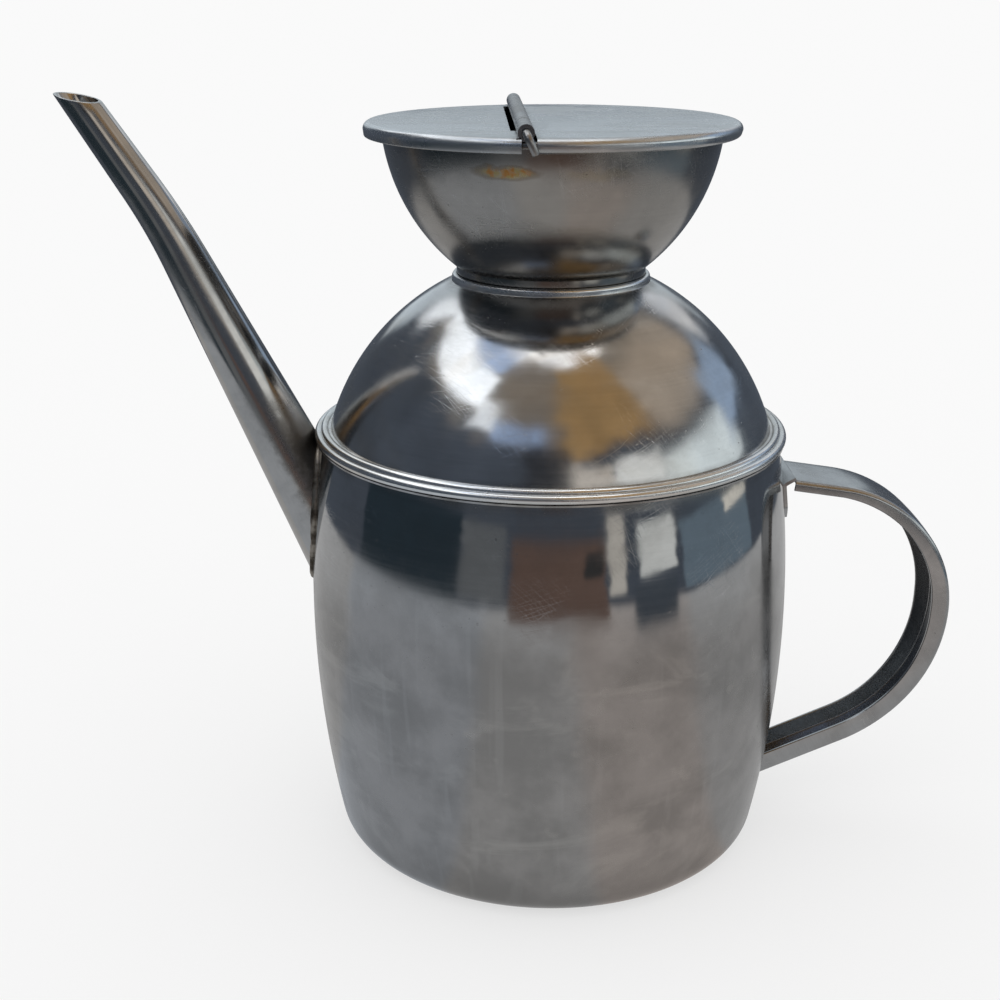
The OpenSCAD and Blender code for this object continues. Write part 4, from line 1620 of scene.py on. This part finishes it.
@dataclass
class Studio:
    """Floor, light, reflected surroundings and camera."""

    view_from: tuple[float, float, float] = (-19.0, -339.5, 196.5)
    yaw: float = -0.0332 + math.radians(3.2)
    pitch: float = 0.3303
    roll: float = -0.0014
    lens: float = 55.8
    floor_half: float = 30.0
    floor_glow: float = 0.62
    room_r: float = 3.0
    eye_z: float = 0.08
    table_z: float = 0.0005
    room: tuple[Patch, ...] = field(default_factory=lambda: ROOM)
    table: tuple[Patch, ...] = field(default_factory=lambda: TABLE)

    def build(self) -> None:
        """Sets up the whole studio."""
        self._floor()
        self._world()
        self._room()
        self._table()
        self._camera()

    def _floor(self) -> None:
        """A plain pale floor that keeps the object's shadow."""
        bm = bmesh.new()
        bmesh.ops.create_grid(bm, x_segments=1, y_segments=1, size=self.floor_half)
        mesh = bpy.data.meshes.new("floor")
        bm.to_mesh(mesh)
        bm.free()
        floor = bpy.data.objects.new("floor", mesh)
        bpy.context.scene.collection.objects.link(floor)
        graph = Graph("floor_paper")
        paper = graph.node("ShaderNodeBsdfDiffuse", {}, {"Color": (0.88, 0.88, 0.88, 1)})
        glow = graph.node("ShaderNodeEmission", {}, {"Color": (1, 1, 1, 1),
                                                     "Strength": 1.0})
        rays = [graph.node("ShaderNodeLightPath", {}, {}, f"Is {kind} Ray")
                for kind in ("Camera", "Glossy", "Transmission")]
        share = (rays[0] + rays[1] + rays[2]) * self.floor_glow
        shader = graph.node("ShaderNodeMixShader", {}, {0: share, 1: paper, 2: glow})
        mesh.materials.append(graph.output(shader))

    def _world(self) -> None:
        """Even soft light from all round."""
        world = bpy.data.worlds.new("studio")
        world.use_nodes = True
        sky = world.node_tree.nodes["Background"]
        sky.inputs["Color"].default_value = (1, 1, 1, 1)
        sky.inputs["Strength"].default_value = 1.0
        bpy.context.scene.world = world

    def _paint(self, graph: Graph, turn: Value, level: Value, warp: Value,
               patches: Sequence[Patch], fine: float) -> Value:
        """Colour of the surroundings, one patch over the other.

        Args:
            graph: The material's tree.
            turn: Direction round the axis in degrees.
            level: Height in degrees or distance in metres.
            warp: A noise round 0 that frays the patches.
            patches: The patches, the lowest first.
            fine: Length of one unit of level, against a degree.

        Returns:
            The mixed colour.
        """
        colour: Value | COLOUR = patches[0].colour
        for patch in patches[1:]:
            drift = warp * (patch.soft * 1.6)
            middle, half = (patch.west + patch.east) / 2, (patch.east - patch.west) / 2
            off = (turn - middle).size()
            off = (360 - off).least(off) + drift
            wide = off.step(half + patch.soft / 2, half - patch.soft / 2)
            middle, half = (patch.low + patch.high) / 2, (patch.high - patch.low) / 2
            edge = patch.soft * fine / 2
            tall = ((level - middle).size() + drift * fine).step(half + edge, half - edge)
            colour = graph.mix(colour, patch.colour, wide * tall * patch.share)
        return colour

    def _surround(self, name: str, bm: bmesh.types.BMesh, graph: Graph,
                  colour: Value) -> None:
        """Adds glowing surroundings that only the metal's gloss shows.

        Args:
            name: The object's name.
            bm: Its mesh, which is freed.
            graph: Its material's tree.
            colour: Its glow.
        """
        mesh = bpy.data.meshes.new(name)
        bm.to_mesh(mesh)
        bm.free()
        holder = bpy.data.objects.new(name, mesh)
        bpy.context.scene.collection.objects.link(holder)
        glow = graph.node("ShaderNodeBsdfPrincipled", {}, {
            "Base Color": (0, 0, 0, 1), "Roughness": 1.0, "Specular IOR Level": 0.0,
            "Emission Color": colour, "Emission Strength": 1.0})
        mesh.materials.append(graph.output(glow))
        graph.material.cycles.emission_sampling = "NONE"
        for kind in ("camera", "diffuse", "transmission", "volume_scatter", "shadow"):
            setattr(holder, f"visible_{kind}", False)

    def _room(self) -> None:
        """The room round the table: dark, with windows and pale walls."""
        bm = bmesh.new()
        bmesh.ops.create_icosphere(bm, subdivisions=5, radius=self.room_r,
                                   matrix=Matrix.Translation((0, 0, self.eye_z)))
        bmesh.ops.reverse_faces(bm, faces=bm.faces)
        graph = Graph("room_glow")
        x, y, z = graph.split(graph.place())
        away = (x * x + y * y).root()
        turn = x.angle(y * -1.0) * math.degrees(1)
        level = (z - self.eye_z / MM).angle(away) * math.degrees(1)
        where = graph.join(x / 1000.0, y / 1000.0, z / 1000.0)
        warp = graph.cloud(where, 1.5, 3.0, 0.55) - 0.5
        colour = self._paint(graph, turn, level, warp * 2.0, self.room, 1.0)
        cloud = graph.cloud(where, 0.9, 4.0, 0.6, 0.6) * 0.9 + 0.55
        colour = graph.mix(colour, graph.join(cloud, cloud, cloud), 1.0, "MULTIPLY")
        self._surround("room", bm, graph, colour)

    def _table(self) -> None:
        """The table top: grey near the object, dark and streaked further off."""
        bm = bmesh.new()
        bmesh.ops.create_circle(bm, cap_ends=True, radius=self.room_r * 0.99, segments=96,
                                matrix=Matrix.Translation((0, 0, self.table_z)))
        graph = Graph("table_glow")
        x, y, _ = graph.split(graph.place())
        away = (x * x + y * y).root() / 1000.0
        turn = x.angle(y * -1.0) * math.degrees(1)
        where = graph.join(x / 1000.0, y / 1000.0, 0.0)
        warp = graph.cloud(where, 6.0, 3.0, 0.55) - 0.5
        colour = self._paint(graph, turn, away, warp * 2.0, self.table, 0.01)
        self._surround("table_top", bm, graph, colour)

    def _camera(self) -> None:
        """The camera at the photograph's angle."""
        ahead = Vector((math.sin(self.yaw) * math.cos(self.pitch),
                        math.cos(self.yaw) * math.cos(self.pitch),
                        -math.sin(self.pitch)))
        right = ahead.cross(Vector((0, 0, 1))).normalized()
        up = right.cross(ahead)
        turn = Matrix((right, up, -ahead)).transposed()
        turn = turn @ Matrix.Rotation(self.roll, 3, "Z")
        data = bpy.data.cameras.new("camera")
        data.lens = self.lens
        data.sensor_width = 36.0
        data.clip_start = 0.01
        data.clip_end = 100.0
        camera = bpy.data.objects.new("camera", data)
        camera.matrix_world = (Matrix.Translation(Vector(self.view_from) * MM)
                               @ turn.to_4x4())
        bpy.context.scene.collection.objects.link(camera)
        bpy.context.scene.camera = camera


DARK = (0.085, 0.10, 0.125)
ROOM: tuple[Patch, ...] = (
    Patch(-180, 180, -90, 90, DARK),
    Patch(-180, 180, 40, 100, (0.30, 0.27, 0.235), 9),
    Patch(-180, 180, 71, 100, (2.2, 2.2, 2.2), 3),
    Patch(-48, 5, 34, 76, (0.29, 0.245, 0.20), 8),
    Patch(2, 62, 30, 74, (0.44, 0.28, 0.13), 9),
    Patch(62, 130, 27, 60, (0.56, 0.48, 0.40), 8),
    Patch(138, 222, 50, 90, (1.0, 1.03, 1.06), 6),
    Patch(-150, -52, 45, 62, (1.9, 1.95, 2.0), 3),
    Patch(-165, -140, 28, 50, (1.6, 1.65, 1.7), 4),
    Patch(-112, -54, 62, 74, (0.62, 0.80, 1.15), 4),
    Patch(-54, -38, 37, 51, (1.3, 1.35, 1.4), 3),
    Patch(-38, -6, 34, 43, (0.42, 0.55, 0.8), 5),
    Patch(8, 30, 11, 24, (0.75, 0.68, 0.6), 4),
    Patch(31, 57, 9, 25, (1.05, 1.07, 1.05), 4),
    Patch(58, 110, 2, 21, (1.05, 1.14, 1.15), 4),
    Patch(106, 134, 10, 30, (0.42, 0.54, 0.72), 4),
    Patch(138, 156, 18, 38, (1.0, 1.04, 1.1), 4),
    Patch(154, 206, 6, 38, (0.62, 0.69, 0.74), 4),
    Patch(-16, 6, 8, 33, (0.045, 0.048, 0.055), 5),
)
TABLE: tuple[Patch, ...] = (
    Patch(-180, 180, 0, 3, DARK),
    Patch(-180, 180, -1, 0.335, (0.50, 0.50, 0.50), 2),
    Patch(-100, -30, -1, 0.335, (0.46, 0.49, 0.53), 6, 0.9),
    Patch(8, 60, -1, 0.335, (0.54, 0.49, 0.46), 7, 0.9),
    Patch(-96, -42, 0.34, 1.7, (0.030, 0.045, 0.058), 2),
    Patch(-42, -22, 0.36, 1.4, (0.17, 0.18, 0.19), 3),
    Patch(-19, 22, 0.305, 1.0, (0.165, 0.11, 0.09), 2),
    Patch(13, 21, 0.50, 0.75, (0.05, 0.05, 0.05), 2),
    Patch(23, 31, 0.39, 2.2, (0.66, 0.62, 0.56), 2),
    Patch(37, 55, 0.46, 1.2, (0.84, 0.85, 0.82), 2),
    Patch(34, 54, 0.265, 0.42, (0.075, 0.09, 0.11), 2),
    Patch(58, 100, 0.345, 0.9, (0.18, 0.235, 0.285), 2),
    Patch(84, 100, 0.62, 0.80, (0.95, 0.90, 0.80), 2),
)


def main() -> None:
    """Builds the dispenser and the studio."""
    logging.basicConfig(level=logging.INFO, format="%(message)s")
    finish = Finishes()
    for maker in (Can(), Shoulder(), Spout(), Handle(), Funnel(), Lid()):
        maker.build(finish)
    Studio().build()
    bpy.context.scene.view_settings.view_transform = "Standard"


if __name__ == "__main__":
    main()
